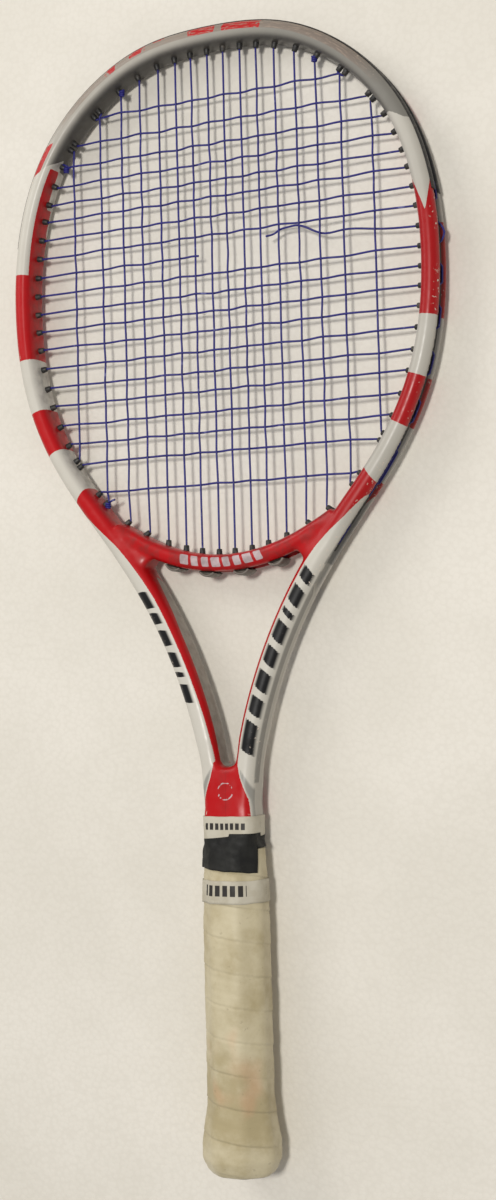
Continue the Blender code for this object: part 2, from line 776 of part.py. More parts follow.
def make_trap_door():
    """Plate with a shallow plug behind it; its origin is on the line it slides along."""
    bm = bmesh.new()
    half_w, half_h = DOOR_WIDTH / 2 - CLEARANCE, DOOR_HEIGHT / 2 - CLEARANCE
    rings = []
    for y, inset in ((0.0, 0.5), (0.5, 0.0), (CAP_END_WALL, 0.0), (CAP_END_WALL, 1.0),
                     (CAP_END_WALL + DOOR_PLUG_DEPTH - 0.8, 1.0),
                     (CAP_END_WALL + DOOR_PLUG_DEPTH, 1.6)):
        w, h = half_w - inset, half_h - inset
        rings.append([(-w, y, -h), (w, y, -h), (w, y, h), (-w, y, h)])
    add_loft(bm, rings)
    door = make_object("trap_door", bm, "door_plastic", smooth=False)
    door.location.z = DOOR_CENTRE_Z * MM
    return door


def make_tapes():
    """Printed band low on the grip, black tape over the grip's end, white tape above it."""
    low = make_layer("tape_band_lower", 160.0, 171.5, -0.7, 0.4, "white_tape")

    outer, inner = [], []
    for y in (176.5, OVERGRIP_TOP + 0.5):
        outer.append(octagon_ring(y, *surface_size(y, -0.9)))
        inner.append(octagon_ring(y, *surface_size(y, -0.3)))
    outer.append(neck_ring(198.3, 17.7, 13.9))
    inner.append(neck_ring(198.3, 17.1, 13.3))
    black = make_shell("black_tape_wrap", outer, inner, "black_tape")

    outer, inner = [], []
    for y in (198.9, 209.5):
        width, height = neck_size(y)
        outer.append(neck_ring(y, width + 0.8, height + 0.8))
        inner.append(neck_ring(y, width + CLEARANCE, height + CLEARANCE))
    top = make_shell("finishing_tape_upper", outer, inner, "white_tape")
    return [low, black, top]


# ---- Assembly -----------------------------------------------------------------------

def clear_scene():
    for item in list(bpy.data.objects):
        bpy.data.objects.remove(item, do_unlink=True)


def main():
    clear_scene()
    hoop = hoop_path()
    bridge = bridge_path()
    tops, bottoms, crosses = hole_layout(hoop, bridge)
    right = tops + bottoms + crosses
    holes = right + [hole.mirrored() for hole in right]

    make_frame(hoop, bridge, holes)

    on_hoop = [hole for hole in holes if hole.path is hoop]
    on_bridge = [hole for hole in holes if hole.path is bridge]
    middle = hoop.length / 2
    right_half = [d for d in np.linspace(middle, hoop.length, 2000)]
    bumper_end = min(right_half, key=lambda d: abs(hoop.at(d)[0][1] - BUMPER_END_Y))
    strip_end = max(hole.distance for hole in on_hoop) + 5.0
    make_strip("bumper_guard", hoop, hoop.length - bumper_end, bumper_end,
               bumper_section, on_hoop)
    make_strip("grommet_strip_right", hoop, bumper_end + STRIP_GAP, strip_end,
               strip_section, on_hoop)
    make_strip("grommet_strip_left", hoop, hoop.length - strip_end,
               hoop.length - bumper_end - STRIP_GAP, strip_section, on_hoop)
    reach = max(hole.distance for hole in on_bridge) + 3.2
    throat = make_strip("grommet_strip_throat", bridge, bridge.length - reach, reach,
                        strip_section, on_bridge)
    make_bumps(throat, bridge)

    make_main_string(tops, bottoms)
    make_cross_strings(tops, bottoms, crosses)

    make_pallet()
    make_butt_cap()
    make_trap_door()
    make_layer("base_grip", 1.0, BASE_GRIP_TOP, OVERGRIP_THICKNESS + CLEARANCE,
               BASE_GRIP_THICKNESS, "base_grip")
    make_layer("overgrip", 0.8, OVERGRIP_TOP, 0.0, OVERGRIP_THICKNESS, "overgrip")
    make_tapes()


main()
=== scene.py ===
"""A worn tennis racket lying face up on a pale board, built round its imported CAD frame.

Lengths are in millimetres, and meshes are scaled to metres as they are made. X runs
across the face, Y from the butt to the tip and Z out of the strings.
"""
import math

import bmesh
import bpy
import numpy as np
from mathutils import Matrix, Vector


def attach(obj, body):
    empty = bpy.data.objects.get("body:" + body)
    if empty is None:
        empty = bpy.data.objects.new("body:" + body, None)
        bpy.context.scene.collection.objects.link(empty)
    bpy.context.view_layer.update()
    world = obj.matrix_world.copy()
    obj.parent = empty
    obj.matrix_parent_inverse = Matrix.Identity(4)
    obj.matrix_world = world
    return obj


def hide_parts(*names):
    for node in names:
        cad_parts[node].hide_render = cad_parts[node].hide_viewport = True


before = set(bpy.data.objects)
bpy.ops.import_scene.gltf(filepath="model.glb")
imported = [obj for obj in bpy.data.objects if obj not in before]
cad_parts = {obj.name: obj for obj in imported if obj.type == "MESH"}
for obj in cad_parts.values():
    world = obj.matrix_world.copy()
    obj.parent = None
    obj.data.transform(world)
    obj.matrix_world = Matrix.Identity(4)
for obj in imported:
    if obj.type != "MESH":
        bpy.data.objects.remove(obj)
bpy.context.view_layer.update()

MM = 0.001

# ---- Driving dimensions: the CAD model's, with a few finer settings for the visual ------

HOOP_HALF_WIDTH = 5.7
HOOP_HALF_HEIGHT = 11.25
SHAFT_HALF_WIDTH = 6.8
SHAFT_HALF_HEIGHT = 11.6
BRIDGE_HALF_WIDTH = 5.3
BRIDGE_HALF_HEIGHT = 10.2
BRIDGE_CENTRE_Y = 359.4
BRIDGE_BOW = 0.0047
BRIDGE_REACH = 72.0
WEB_CORNER = (59.5, 369.3)      # where a shaft's inner edge would meet the bridge
WEB_DIRECTION = (-0.758, -0.652)  # from the right-hand corner into the throat's opening
WEB_SPREAD = 0.285              # half width that a web gains for each millimetre of its way
WEB_LENGTH = 12.0               # how far a web reaches from its corner
GROOVE_DEPTH = 3.1
GROOVE_HALF_HEIGHT = 3.5
GROOVE_END_Y = 348.0
STRIP_THICKNESS = 0.9
CLEARANCE = 0.3
BUMPER_END_Y = 565.0

# The frame's centre line from the tip to where a shaft enters the handle
HALF_OUTLINE = [
    (0.0, 679.2), (44.1, 674.4), (84.2, 653.2), (115.1, 617.0), (130.4, 574.1),
    (134.6, 525.8), (126.3, 466.1), (103.4, 417.9), (71.7, 375.5), (44.6, 334.2),
    (21.5, 281.0), (10.9, 236.0), (8.5, 200.0),
]
STATIONS_PER_SPAN = 12

MAIN_OFFSETS = [5.2, 16.4, 27.1, 39.0, 52.2, 65.4, 80.5, 99.8]
CROSS_HEIGHTS = [
    643.6, 628.2, 615.0, 603.5, 592.5, 582.3, 570.7, 559.2, 547.3, 535.5,
    523.9, 512.6, 501.0, 488.8, 476.3, 464.5, 451.6, 439.5, 427.1, 407.8,
]
STRING_RADIUS = 0.65
CROSS_WAVE = 1.15               # how far a cross string swings over and under the mains
MAIN_WAVE = 0.2                 # how far a main string gives way to the crosses
CHANNEL_LIFT = 1.95             # height of a string's loop over the groove's floor
LOOP_SHIFT = 1.7                # how far a loop lies in front of or behind the groove's middle
BRIDGE_MAINS = 4
SPLAYED_MAINS = 2
BROKEN_CROSS = 8
LOOP_SLACK = 2.2
HOLE_SPACING = 4.8
BARREL_STAND = 2.9              # how far a barrel stands into the head

BUMP_SPACING = 21.5
BUMP_COUNT = 4
BUMP_RADIUS = 6.5
BUMP_HALF_HEIGHT = 6.5
BUMP_SINK = 3.2                 # how far a bump's axis lies inside the bridge
# Upper half of a bump, to its face's sunk middle: height, and how much the radius shrinks
BUMP_PROFILE = [
    (5.2, 0.0), (6.2, 0.2), (BUMP_HALF_HEIGHT, 0.8), (6.2, 1.3), (4.0, 1.5), (3.6, 2.2),
]

# Outer surface of the wrapped handle: height, half width, half thickness
HANDLE_SURFACE = [
    (0.0, 20.2, 17.6), (3.0, 22.3, 19.7), (9.0, 23.2, 20.5), (20.0, 23.1, 20.4),
    (29.0, 21.5, 19.3), (40.0, 20.0, 18.3), (52.0, 19.6, 18.1), (140.0, 19.6, 18.1),
    (162.0, 19.2, 17.3), (178.0, 18.6, 16.3), (192.0, 17.9, 15.2),
]
OVERGRIP_TOP = 190.0
# The neck and the bar inside the grip: height, half width, half thickness
NECK_RINGS = [
    (8.0, 12.0, 9.8), (184.0, 12.0, 9.8), (189.2, 13.0, 10.8), (190.8, 15.3, 12.6),
    (198.0, 16.3, 12.6), (209.0, 16.6, 12.4), (232.0, 15.0, 11.4), (238.0, 13.5, 10.8),
]
VOXEL = 1.2                     # fineness of the frame's moulded skin
EMBLEM_Y = 224.0                # middle of the plain ring painted on the neck

# ---- Mesh helpers ----------------------------------------------------------------------


def make_piece(name, bm, materials, body="racket", stands_for=()):
    """Turns a bmesh in millimetres into a smooth-shaded piece that rides on its body."""
    bmesh.ops.recalc_face_normals(bm, faces=bm.faces)
    mesh = bpy.data.meshes.new(name)
    bm.to_mesh(mesh)
    bm.free()
    mesh.transform(Matrix.Scale(MM, 4))
    mesh.shade_smooth()
    for material in materials:
        mesh.materials.append(material)
    piece = bpy.data.objects.new(name, mesh)
    bpy.context.scene.collection.objects.link(piece)
    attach(piece, body)
    if stands_for:
        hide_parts(*stands_for)
    return piece


def add_attribute(mesh, name, values):
    """Gives each vertex a number that the materials read."""
    layer = mesh.attributes.new(name, "FLOAT", "POINT")
    layer.data.foreach_set("value", np.asarray(values, dtype=np.float32))


def add_loft(bm, rings, closed=False):
    """Joins rings of points with faces; a closed loft returns to its first ring."""
    loops = [[bm.verts.new(point) for point in ring] for ring in rings]
    count = len(loops[0])
    pairs = list(zip(loops, loops[1:]))
    if closed:
        pairs.append((loops[-1], loops[0]))
    for lower, upper in pairs:
        for k in range(count):
            following = (k + 1) % count
            bm.faces.new((lower[k], lower[following], upper[following], upper[k]))
    if not closed:
        bm.faces.new(list(reversed(loops[0])))
        bm.faces.new(loops[-1])
    return loops


def add_tube(bm, points, radius, sides):
    """Round bar through a list of points; radius may be a list with one value a point."""
    points = np.array(points, dtype=float)
    steps = np.gradient(points, axis=0)
    steps /= np.linalg.norm(steps, axis=1)[:, None]
    radii = np.broadcast_to(radius, len(points))
    angles = 2 * math.pi * np.arange(sides) / sides
    rings = []
    for point, along, reach in zip(points, steps, radii):
        side = np.cross(along, (0, 0, 1))
        side /= max(np.linalg.norm(side), 1e-6)
        above = np.cross(side, along)
        ring = [point + reach * (side * math.cos(a) + above * math.sin(a)) for a in angles]
        rings.append(ring)
    add_loft(bm, rings)


def add_turned(bm, start, along, profile, sides=14):
    """Closed ring-shaped solid turned about a line; profile lists (distance, radius)."""
    along = np.array([*along, 0.0]) if len(along) == 2 else np.array(along)
    start = np.array([*start, 0.0]) if len(start) == 2 else np.array(start)
    side = np.cross(along, (0, 0, 1))
    above = np.cross(side, along)
    rings = []
    for distance, radius in profile:
        ring = []
        for n in range(sides):
            angle = 2 * math.pi * n / sides
            ring.append(start + along * distance
                        + radius * (side * math.cos(angle) + above * math.sin(angle)))
        rings.append(ring)
    add_loft(bm, rings, closed=True)


def wobble(value, seed):
    """Smooth repeatable wave between about -1 and 1."""
    return (math.sin(value * 1.7 + seed * 12.9) + math.sin(value * 3.1 + seed * 4.7)
            + 0.6 * math.sin(value * 5.3 + seed * 7.1)) / 2.6


def blend(value, low, high):
    """Smooth step from 0 at low to 1 at high."""
    k = np.clip((value - low) / (high - low), 0.0, 1.0)
    return k * k * (3 - 2 * k)


# ---- Curves in the string plane --------------------------------------------------------


def smooth_curve(points, per_span):
    """Natural cubic spline through the points, returned as evenly divided spans."""
    points = np.array(points, dtype=float)
    steps = np.linalg.norm(np.diff(points, axis=0), axis=1)
    count = len(points)
    matrix = np.eye(count)
    target = np.zeros_like(points)
    for k in range(1, count - 1):
        left, right = steps[k - 1], steps[k]
        matrix[k, k - 1:k + 2] = (left, 2 * (left + right), right)
        slope_change = (points[k + 1] - points[k]) / right - (points[k] - points[k - 1]) / left
        target[k] = 6 * slope_change
    bend = np.linalg.solve(matrix, target)
    result = []
    for k, step in enumerate(steps):
        for n in range(per_span):
            b = n / per_span
            a = 1 - b
            straight = a * points[k] + b * points[k + 1]
            curved = ((a ** 3 - a) * bend[k] + (b ** 3 - b) * bend[k + 1]) * step ** 2 / 6
            result.append(straight + curved)
    result.append(points[-1])
    return np.array(result)


class Path:
    """A run of stations in the string plane, with an outward side and a half width."""

    def __init__(self, stations, outward_sign, half_width):
        self.stations = np.array(stations)
        steps = np.diff(self.stations, axis=0)
        self.distances = np.r_[0.0, np.cumsum(np.linalg.norm(steps, axis=1))]
        self.length = self.distances[-1]
        directions = np.gradient(self.stations, self.distances, axis=0)
        directions /= np.linalg.norm(directions, axis=1)[:, None]
        self.directions = directions
        self.outwards = outward_sign * np.c_[-directions[:, 1], directions[:, 0]]
        self.half_width_at = half_width

    def at(self, distance):
        """Centre point, outward direction and half width at a distance along the path."""
        centre = np.array([np.interp(distance, self.distances, c) for c in self.stations.T])
        outward = np.array([np.interp(distance, self.distances, c) for c in self.outwards.T])
        return centre, outward / np.linalg.norm(outward), self.half_width_at(centre)

    def point(self, distance, offset):
        """Point at an outward offset from the groove's floor."""
        centre, outward, half_width = self.at(distance)
        return centre + outward * (half_width - GROOVE_DEPTH + offset)

    def rings(self, distances, section):
        """Cross sections; section(half_width, centre) lists (outward, up) points."""
        result = []
        for distance in distances:
            centre, outward, half_width = self.at(distance)
            ring = []
            for out, up in section(half_width, centre):
                flat = centre + outward * out
                ring.append((flat[0], flat[1], up))
            result.append(ring)
        return result

    def locate(self, points):
        """Distance along the path and outward offset of each point, from its nearest station."""
        nearest = np.empty(len(points), dtype=int)
        for first in range(0, len(points), 4000):
            part = points[first:first + 4000]
            gaps = part[:, None, :] - self.stations[None, :, :]
            nearest[first:first + 4000] = np.argmin((gaps ** 2).sum(axis=2), axis=1)
        away = points - self.stations[nearest]
        along = (away * self.directions[nearest]).sum(axis=1)
        out = (away * self.outwards[nearest]).sum(axis=1)
        return self.distances[nearest] + along, out


def shaft_share(y):
    """0 on the shafts, 1 on the hoop."""
    return blend(y, 350.0, 430.0)


def hoop_half_width(centre):
    return SHAFT_HALF_WIDTH + (HOOP_HALF_WIDTH - SHAFT_HALF_WIDTH) * shaft_share(centre[1])


def hoop_path():
    """Whole frame from the left shaft's foot, round the tip, to the right shaft's foot."""
    right = HALF_OUTLINE
    left = [(-x, y) for x, y in reversed(HALF_OUTLINE[1:])]
    return Path(smooth_curve(left + right, STATIONS_PER_SPAN), 1, hoop_half_width)


def bridge_path():
    xs = np.linspace(-BRIDGE_REACH, BRIDGE_REACH, 73)
    stations = np.c_[xs, BRIDGE_CENTRE_Y + BRIDGE_BOW * xs ** 2]
    return Path(stations, -1, lambda centre: BRIDGE_HALF_WIDTH)


# ---- String holes ----------------------------------------------------------------------


class Hole:
    """One string hole: mouth inside the head, and its place on a path outside."""

    def __init__(self, path, distance, mouth=None):
        centre, self.outward, half_width = path.at(distance)
        self.path = path
        self.distance = distance
        self.floor = centre + self.outward * (half_width - GROOVE_DEPTH)
        self.mouth = centre - self.outward * (half_width + BARREL_STAND)
        if mouth is not None:
            self.mouth = np.array(mouth)
            self.outward = self.floor - self.mouth
            self.outward /= np.linalg.norm(self.outward)

    def mirrored(self):
        """The same hole on the left of the axis."""
        twin = Hole(self.path, self.path.length - self.distance)
        flip = np.array([-1, 1])
        twin.floor = self.floor * flip
        twin.mouth = self.mouth * flip
        twin.outward = self.outward * flip
        return twin

    def in_bed(self):
        """Where the string leaves the barrel and enters the string bed."""
        return self.mouth - self.outward * 0.8

    def outside(self):
        """Where the string leaves the barrel on the outside, above the strip."""
        return self.floor + self.outward * (CHANNEL_LIFT - 0.6)


def spread(distances):
    """Moves neighbouring holes apart until they keep their least spacing."""
    order = np.argsort(distances)
    values = np.array(distances)[order]
    for _ in range(400):
        for k in range(len(values) - 1):
            lack = HOLE_SPACING - (values[k + 1] - values[k])
            if lack > 0:
                values[k] -= lack / 2
                values[k + 1] += lack / 2
    result = np.empty(len(values))
    result[order] = values
    return result


def over_bridge(x):
    """Mouth of a main string's barrel on the bridge's upper edge."""
    rise = BRIDGE_HALF_WIDTH * math.hypot(1, 2 * BRIDGE_BOW * x) + BARREL_STAND
    return np.array([x, BRIDGE_CENTRE_Y + BRIDGE_BOW * x * x + rise])


def hole_layout(hoop, bridge):
    """Right-hand holes: lists for the mains' tops, mains' bottoms and crosses."""
    middle = hoop.length / 2
    distances = np.linspace(middle, hoop.length - 60, 3000)
    probes = [Hole(hoop, d) for d in distances]
    mouths = np.array([probe.mouth for probe in probes])
    widest = int(np.argmax(mouths[:, 0]))

    def reaching(mask):
        return distances[int(np.argmax(mask))]

    upper = np.arange(len(distances)) <= widest
    tops = [reaching(upper & (mouths[:, 0] >= x)) for x in MAIN_OFFSETS]
    crosses = [reaching(mouths[:, 1] <= y) for y in CROSS_HEIGHTS]
    splayed = MAIN_OFFSETS[BRIDGE_MAINS:BRIDGE_MAINS + SPLAYED_MAINS]
    lowest = MAIN_OFFSETS[BRIDGE_MAINS + SPLAYED_MAINS:]
    lows = [reaching(~upper & (mouths[:, 0] <= x)) for x in lowest]

    shoulder_mouths = [over_bridge(x) for x in splayed]
    centres = np.array([hoop.at(d)[0] for d in distances])
    feet = []
    for mouth in shoulder_mouths:
        feet.append(distances[int(np.argmin(np.linalg.norm(centres - mouth, axis=1)))])

    placed = spread(tops + crosses + lows + feet)
    mains, cross_count = len(MAIN_OFFSETS), len(CROSS_HEIGHTS)
    top_holes = [Hole(hoop, d) for d in placed[:mains]]
    cross_holes = [Hole(hoop, d) for d in placed[mains:mains + cross_count]]
    low_holes = [Hole(hoop, d) for d in placed[mains + cross_count:][:len(lows)]]
    foot_holes = [Hole(hoop, d, m) for d, m in zip(placed[-len(feet):], shoulder_mouths)]

    bridge_holes = []
    for x in MAIN_OFFSETS[:BRIDGE_MAINS]:
        distance = np.interp(x, bridge.stations[:, 0], bridge.distances)
        bridge_holes.append(Hole(bridge, distance, over_bridge(x)))
    return top_holes, bridge_holes + foot_holes + low_holes, cross_holes


# ---- Frame: one moulded skin -----------------------------------------------------------


def frame_section(half_width, half_height, groove):
    """Rounded beam with a flat-bottomed groove on its outer side."""
    arch = [
        (1.00, 4.0 / half_height), (0.91, 0.67), (0.50, 0.93), (-0.10, 1.00),
        (-0.62, 0.90), (-0.93, 0.58), (-1.00, 0.22), (-1.00, -0.22), (-0.93, -0.58),
        (-0.62, -0.90), (-0.10, -1.00), (0.50, -0.93), (0.91, -0.67),
        (1.00, -4.0 / half_height),
    ]
    curve = smooth_curve([(out * half_width, up * half_height) for out, up in arch], 3)
    floor = half_width - groove
    return ([(floor, GROOVE_HALF_HEIGHT)] + [tuple(point) for point in curve]
            + [(floor, -GROOVE_HALF_HEIGHT)])


def hoop_section(half_width, centre):
    share = shaft_share(centre[1])
    half_height = SHAFT_HALF_HEIGHT + (HOOP_HALF_HEIGHT - SHAFT_HALF_HEIGHT) * share
    depth = GROOVE_DEPTH * blend(centre[1], GROOVE_END_Y - 6.0, GROOVE_END_Y)
    return frame_section(half_width, half_height, depth)


def bridge_section(half_width, centre):
    return frame_section(half_width, BRIDGE_HALF_HEIGHT, GROOVE_DEPTH)


def squarish_point(y, angle, half_width, half_height):
    """Point of a squarish oval across the handle's axis."""
    c, s = math.cos(angle), math.sin(angle)
    reach = (abs(c) ** 4 + abs(s) ** 4) ** -0.25
    return half_width * reach * c, y, half_height * reach * s


def neck_ring(y, half_width, half_height, count=32):
    angles = [2 * math.pi * (k + 0.5) / count for k in range(count)]
    return [squarish_point(y, angle, half_width, half_height) for angle in angles]


def add_web(bm, side):
    """Rounded web that fills the throat's upper corner; side is 1 right or -1 left."""
    forward = np.array(WEB_DIRECTION) * (side, 1)
    across = np.array([-forward[1], forward[0]])
    rings = []
    for distance in (-5.0, 4.0, WEB_LENGTH):
        centre = np.array(WEB_CORNER) * (side, 1) + forward * distance
        half_width = 2.6 + max(distance, 0.0) * WEB_SPREAD
        ring = []
        for k in range(24):
            angle = math.radians(15 * (k + 0.5))
            spot = centre + across * half_width * math.cos(angle) * 1.15
            height = BRIDGE_HALF_HEIGHT * 0.92 * math.sin(angle)
            ring.append((spot[0], spot[1], height))
        rings.append(ring)
    add_loft(bm, rings)


def moulded(bm):
    """One closed skin round overlapping solids: vertex and edge arrays in millimetres."""
    mesh = bpy.data.meshes.new("frame_solids")
    bmesh.ops.recalc_face_normals(bm, faces=bm.faces)
    bm.to_mesh(mesh)
    bm.free()
    helper = bpy.data.objects.new("frame_solids", mesh)
    bpy.context.scene.collection.objects.link(helper)
    remesh = helper.modifiers.new("skin", "REMESH")
    remesh.mode = "VOXEL"
    remesh.voxel_size = VOXEL
    graph = bpy.context.evaluated_depsgraph_get()
    skin = bpy.data.meshes.new_from_object(helper.evaluated_get(graph))
    bpy.data.objects.remove(helper)
    return skin


def smooth_skin(points, edges, weights, rounds, shrink_guard):
    """Averages each point with its neighbours by its weight, without shrinking if guarded."""
    degree = np.bincount(edges.ravel(), minlength=len(points))[:, None]
    steps = (0.55, -0.57) if shrink_guard else (0.5,)
    for _ in range(rounds):
        for step in steps:
            total = np.zeros_like(points)
            for axis in range(3):
                total[:, axis] = (
                    np.bincount(edges[:, 0], points[edges[:, 1], axis], len(points))
                    + np.bincount(edges[:, 1], points[edges[:, 0], axis], len(points)))
            points = points + weights[:, None] * step * (total / degree - points)
    return points


def make_frame(hoop, bridge, material):
    bm = bmesh.new()
    add_loft(bm, hoop.rings(hoop.distances, hoop_section))
    add_loft(bm, bridge.rings(bridge.distances, bridge_section))
    add_loft(bm, [neck_ring(*ring) for ring in NECK_RINGS])
    for side in (-1, 1):
        add_web(bm, side)
    skin = moulded(bm)

    count = len(skin.vertices)
    points = np.empty(count * 3)
    skin.vertices.foreach_get("co", points)
    points = points.reshape(-1, 3)
    edges = np.empty(len(skin.edges) * 2, dtype=np.int64)
    skin.edges.foreach_get("vertices", edges)
    edges = edges.reshape(-1, 2)

    points = smooth_skin(points, edges, np.ones(count), 3, True)
    _, from_hoop = hoop.locate(points[:, :2])
    _, from_bridge = bridge.locate(points[:, :2])
    inside_hoop = 1 - blend(np.abs(from_hoop), 9.0, 15.0)
    near_bridge = (1 - blend(np.abs(from_bridge), 8.0, 14.0)) * (np.abs(points[:, 0]) < 74)
    fillet = inside_hoop * near_bridge * (1 - blend(np.abs(points[:, 0]), 64.0, 72.0))
    notch = blend(points[:, 1], 228.0, 236.0) * (1 - blend(points[:, 1], 246.0, 256.0))
    points = smooth_skin(points, edges, np.maximum(fillet, notch), 26, False)
    skin.vertices.foreach_set("co", (points * MM).ravel())
    skin.update()

    for name, values in paint_layout(points, hoop, bridge).items():
        add_attribute(skin, name, values)
    skin.name = "frame_shell"
    skin.shade_smooth()
    skin.materials.clear()
    skin.materials.append(material)
    piece = bpy.data.objects.new("frame_shell", skin)
    bpy.context.scene.collection.objects.link(piece)
    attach(piece, "racket")
    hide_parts("racket_frame")
    return piece


# ---- Paint layout: signed distances in millimetres, positive inside a colour -------------


def band(value, low, high):
    return np.minimum(value - low, high - value)


def along_curve(value, pairs):
    xs, ys = zip(*pairs)
    return np.interp(value, xs, ys)


def shaft_bars(run, across, bars, low, high, slant):
    """Row of slanted bars along a shaft: bars lists (start, length) of each."""
    place = run + slant * across
    inside = np.full(len(run), -9.0)
    for start, length in bars:
        inside = np.maximum(inside, band(place, start, start + length))
    return np.minimum(inside, band(across, low, high))


class SurfacePlaces:
    """Where the frame's points lie: along the hoop, round its section and on the bridge."""

    def __init__(self, points, hoop, bridge):
        self.x, self.y, self.z = points.T
        distance, out = hoop.locate(points[:, :2])
        self.side = distance - hoop.length / 2
        self.run = np.abs(self.side)
        self.half_width = hoop_half_width((self.x, self.y))
        self.across = out / self.half_width
        self.turn = np.degrees(np.arctan2(np.abs(self.z) / HOOP_HALF_HEIGHT, self.across))
        self.on_right = (self.side > 0) == (self.z > 0)
        bridge_run, self.under = bridge.locate(points[:, :2])
        self.from_bridge_middle = bridge_run - bridge.length / 2


def hoop_red(p):
    """Bands round the hoop, and where the first one starts on the left and the right."""
    red = np.maximum(band(p.run, 210.0, 264.6), band(p.run, 299.0, 328.2))
    # Right-hand pattern: two tongues, inside and outside
    inner_tongue = 0.2 * (p.turn - along_curve(p.run, [(180, 150), (190, 122), (206, 84)]))
    outer_tongue = 0.2 * (along_curve(p.run, [(165, 0), (185, 28), (208, 90)]) - p.turn)
    tongues = np.minimum(band(p.run, 165.0, 215.0), np.maximum(inner_tongue, outer_tongue))
    # Left-hand pattern: the inner wall is red well before the face is
    inner_wall = np.minimum(band(p.run, 139.5, 215.0), 0.2 * (p.turn - 137.0))
    return np.maximum(red, np.where(p.on_right, tongues, inner_wall))


def shaft_red(p):
    """Red of the shoulders, which keeps to the inner part of each shaft lower down."""
    left_edge = along_curve(p.run, [
        (362, 1.5), (376, 0.75), (402, 0.0), (416, -0.2), (430, -0.33), (444, -0.42),
        (474, -0.42), (502, -0.5), (523, -0.6), (548, -0.68)])
    right_edge = along_curve(p.run, [
        (360, 1.5), (376, 0.75), (392, 0.3), (403, -0.1), (413, -0.38), (424, -0.5),
        (440, -0.52), (548, -0.55)])
    edge = np.where(p.on_right, right_edge, left_edge)
    start = 361.5 + 2.0 * p.across
    red = np.minimum(p.run - start, (edge - p.across) * p.half_width)
    bare_wall = blend(p.run, 424.0, 438.0) * (p.turn > 90)
    wall_edge = np.where(p.z > 0, along_curve(p.run, [(430, 180), (446, 166), (470, 152)]),
                         along_curve(p.run, [(430, 180), (438, 112)]))
    return np.where(bare_wall > 0.5, np.minimum(red, 0.2 * (wall_edge - p.turn)), red)


def bridge_red(p):
    on_bridge = np.minimum(BRIDGE_HALF_WIDTH + 1.0 - np.abs(p.under), 60.0 - np.abs(p.x))
    return np.minimum(on_bridge, 0.8 + 0.5 * np.abs(p.z) - 0.9 * (p.under - 3.4))


def neck_shield(p):
    """Red shield on the neck, front and back."""
    reach = along_curve(p.y, [(204, 15.3), (210, 15.0), (219, 14.2), (232, 9.6), (239, 8.0)])
    shield = np.minimum(reach - np.abs(p.x), band(p.y, 200.0, 241.0))
    return np.minimum(shield, np.abs(p.z) - 5.0)


def tip_grey(p):
    right_edge = along_curve(p.turn, [(0, 151), (60, 149), (120, 141), (180, 139)])
    left_edge = along_curve(p.turn, [(0, 148), (70, 147), (120, 139), (180, 131)])
    return np.where(p.on_right, right_edge, left_edge) - p.run


def tip_patches(p):
    """Red left on the scraped tip: one wide patch on the left, and small ones at the top."""
    patch = band(p.run + 0.12 * p.turn, 135.0, 155.0)
    patch = np.minimum(patch, np.where(p.on_right, -1.0, 0.2 * (92.0 - p.turn)))
    for centre, half, top in ((-4.0, 8.5, 92), (22.0, 12.0, 94), (-48.5, 5.5, 84),
                              (-67.0, 3.5, 90), (-33.0, 3.0, 60)):
        rough = half + 1.6 * np.sin(p.side * 1.9) + 1.1 * np.sin(p.z * 2.7 + p.side)
        blot = np.minimum(rough - np.abs(p.side - centre), 0.2 * (top - p.turn))
        patch = np.maximum(patch, np.where(p.z > 0, blot, -1.0))
    return patch


def dark_bars(p):
    """Plain dark bars in a row along each shaft."""
    long_bars = [(426, 8), (438, 11), (453, 4), (461, 12), (477, 11), (492, 12), (508, 11), (523, 19)]
    short_bars = [(437, 12), (452, 8), (464, 11), (479, 10), (492, 3.5), (500, 12)]
    right_bars = shaft_bars(p.run, p.across, long_bars, -0.34, 0.80, -3.0)
    left_bars = shaft_bars(p.run, p.across, short_bars, -0.1, 1.2, 3.0)
    bars = np.where(p.on_right, right_bars, left_bars)
    return np.minimum(bars, np.abs(p.z) - np.where(p.z > 0, 3.0, 8.0))


def pale_marks(p):
    """Plain pale bars on the bridge and a thin ring on the shield."""
    pale = np.full(len(p.x), -9.0)
    for k in range(8):
        centre = (k - 3.5) * 7.0
        width = 2.3 if k % 3 else 2.8
        pale = np.maximum(pale, width - np.abs(p.from_bridge_middle - centre - 0.25 * p.under))
    pale = np.minimum(pale, band(p.under, -3.2, 2.6))
    pale = np.minimum(pale, p.z - 3.0)
    from_emblem = np.hypot(p.x, (p.y - EMBLEM_Y))
    ring = np.maximum(0.38 - np.abs(from_emblem - 4.9), np.minimum(
        0.32 - np.abs(p.y - EMBLEM_Y + 0.8), 3.4 - np.abs(p.x)))
    return np.maximum(pale, np.minimum(ring, p.z - 3.0))


def soft_silver(p, shield):
    """Grey shading beside the shield and along the shafts' outer sides."""
    bulge = along_curve(p.y, [(206, 0.6), (214, 3.4), (222, 4.2), (232, 2.6), (239, -0.5)])
    silver = np.minimum(-shield - 0.7, shield + bulge + 0.7)
    silver = np.minimum(silver, np.minimum(band(p.y, 203.0, 241.0), np.abs(p.z) - 5.0))
    flank = np.minimum(band(p.run, 425.0, 560.0), 0.2 * (31.0 - p.turn))
    silver = np.maximum(silver, np.where(p.on_right, flank, -9.0))
    wedge = np.minimum(band(p.run, 372.0, 420.0), 0.2 * (20.0 + 0.3 * (p.run - 372.0) - p.turn))
    return np.maximum(silver, wedge)


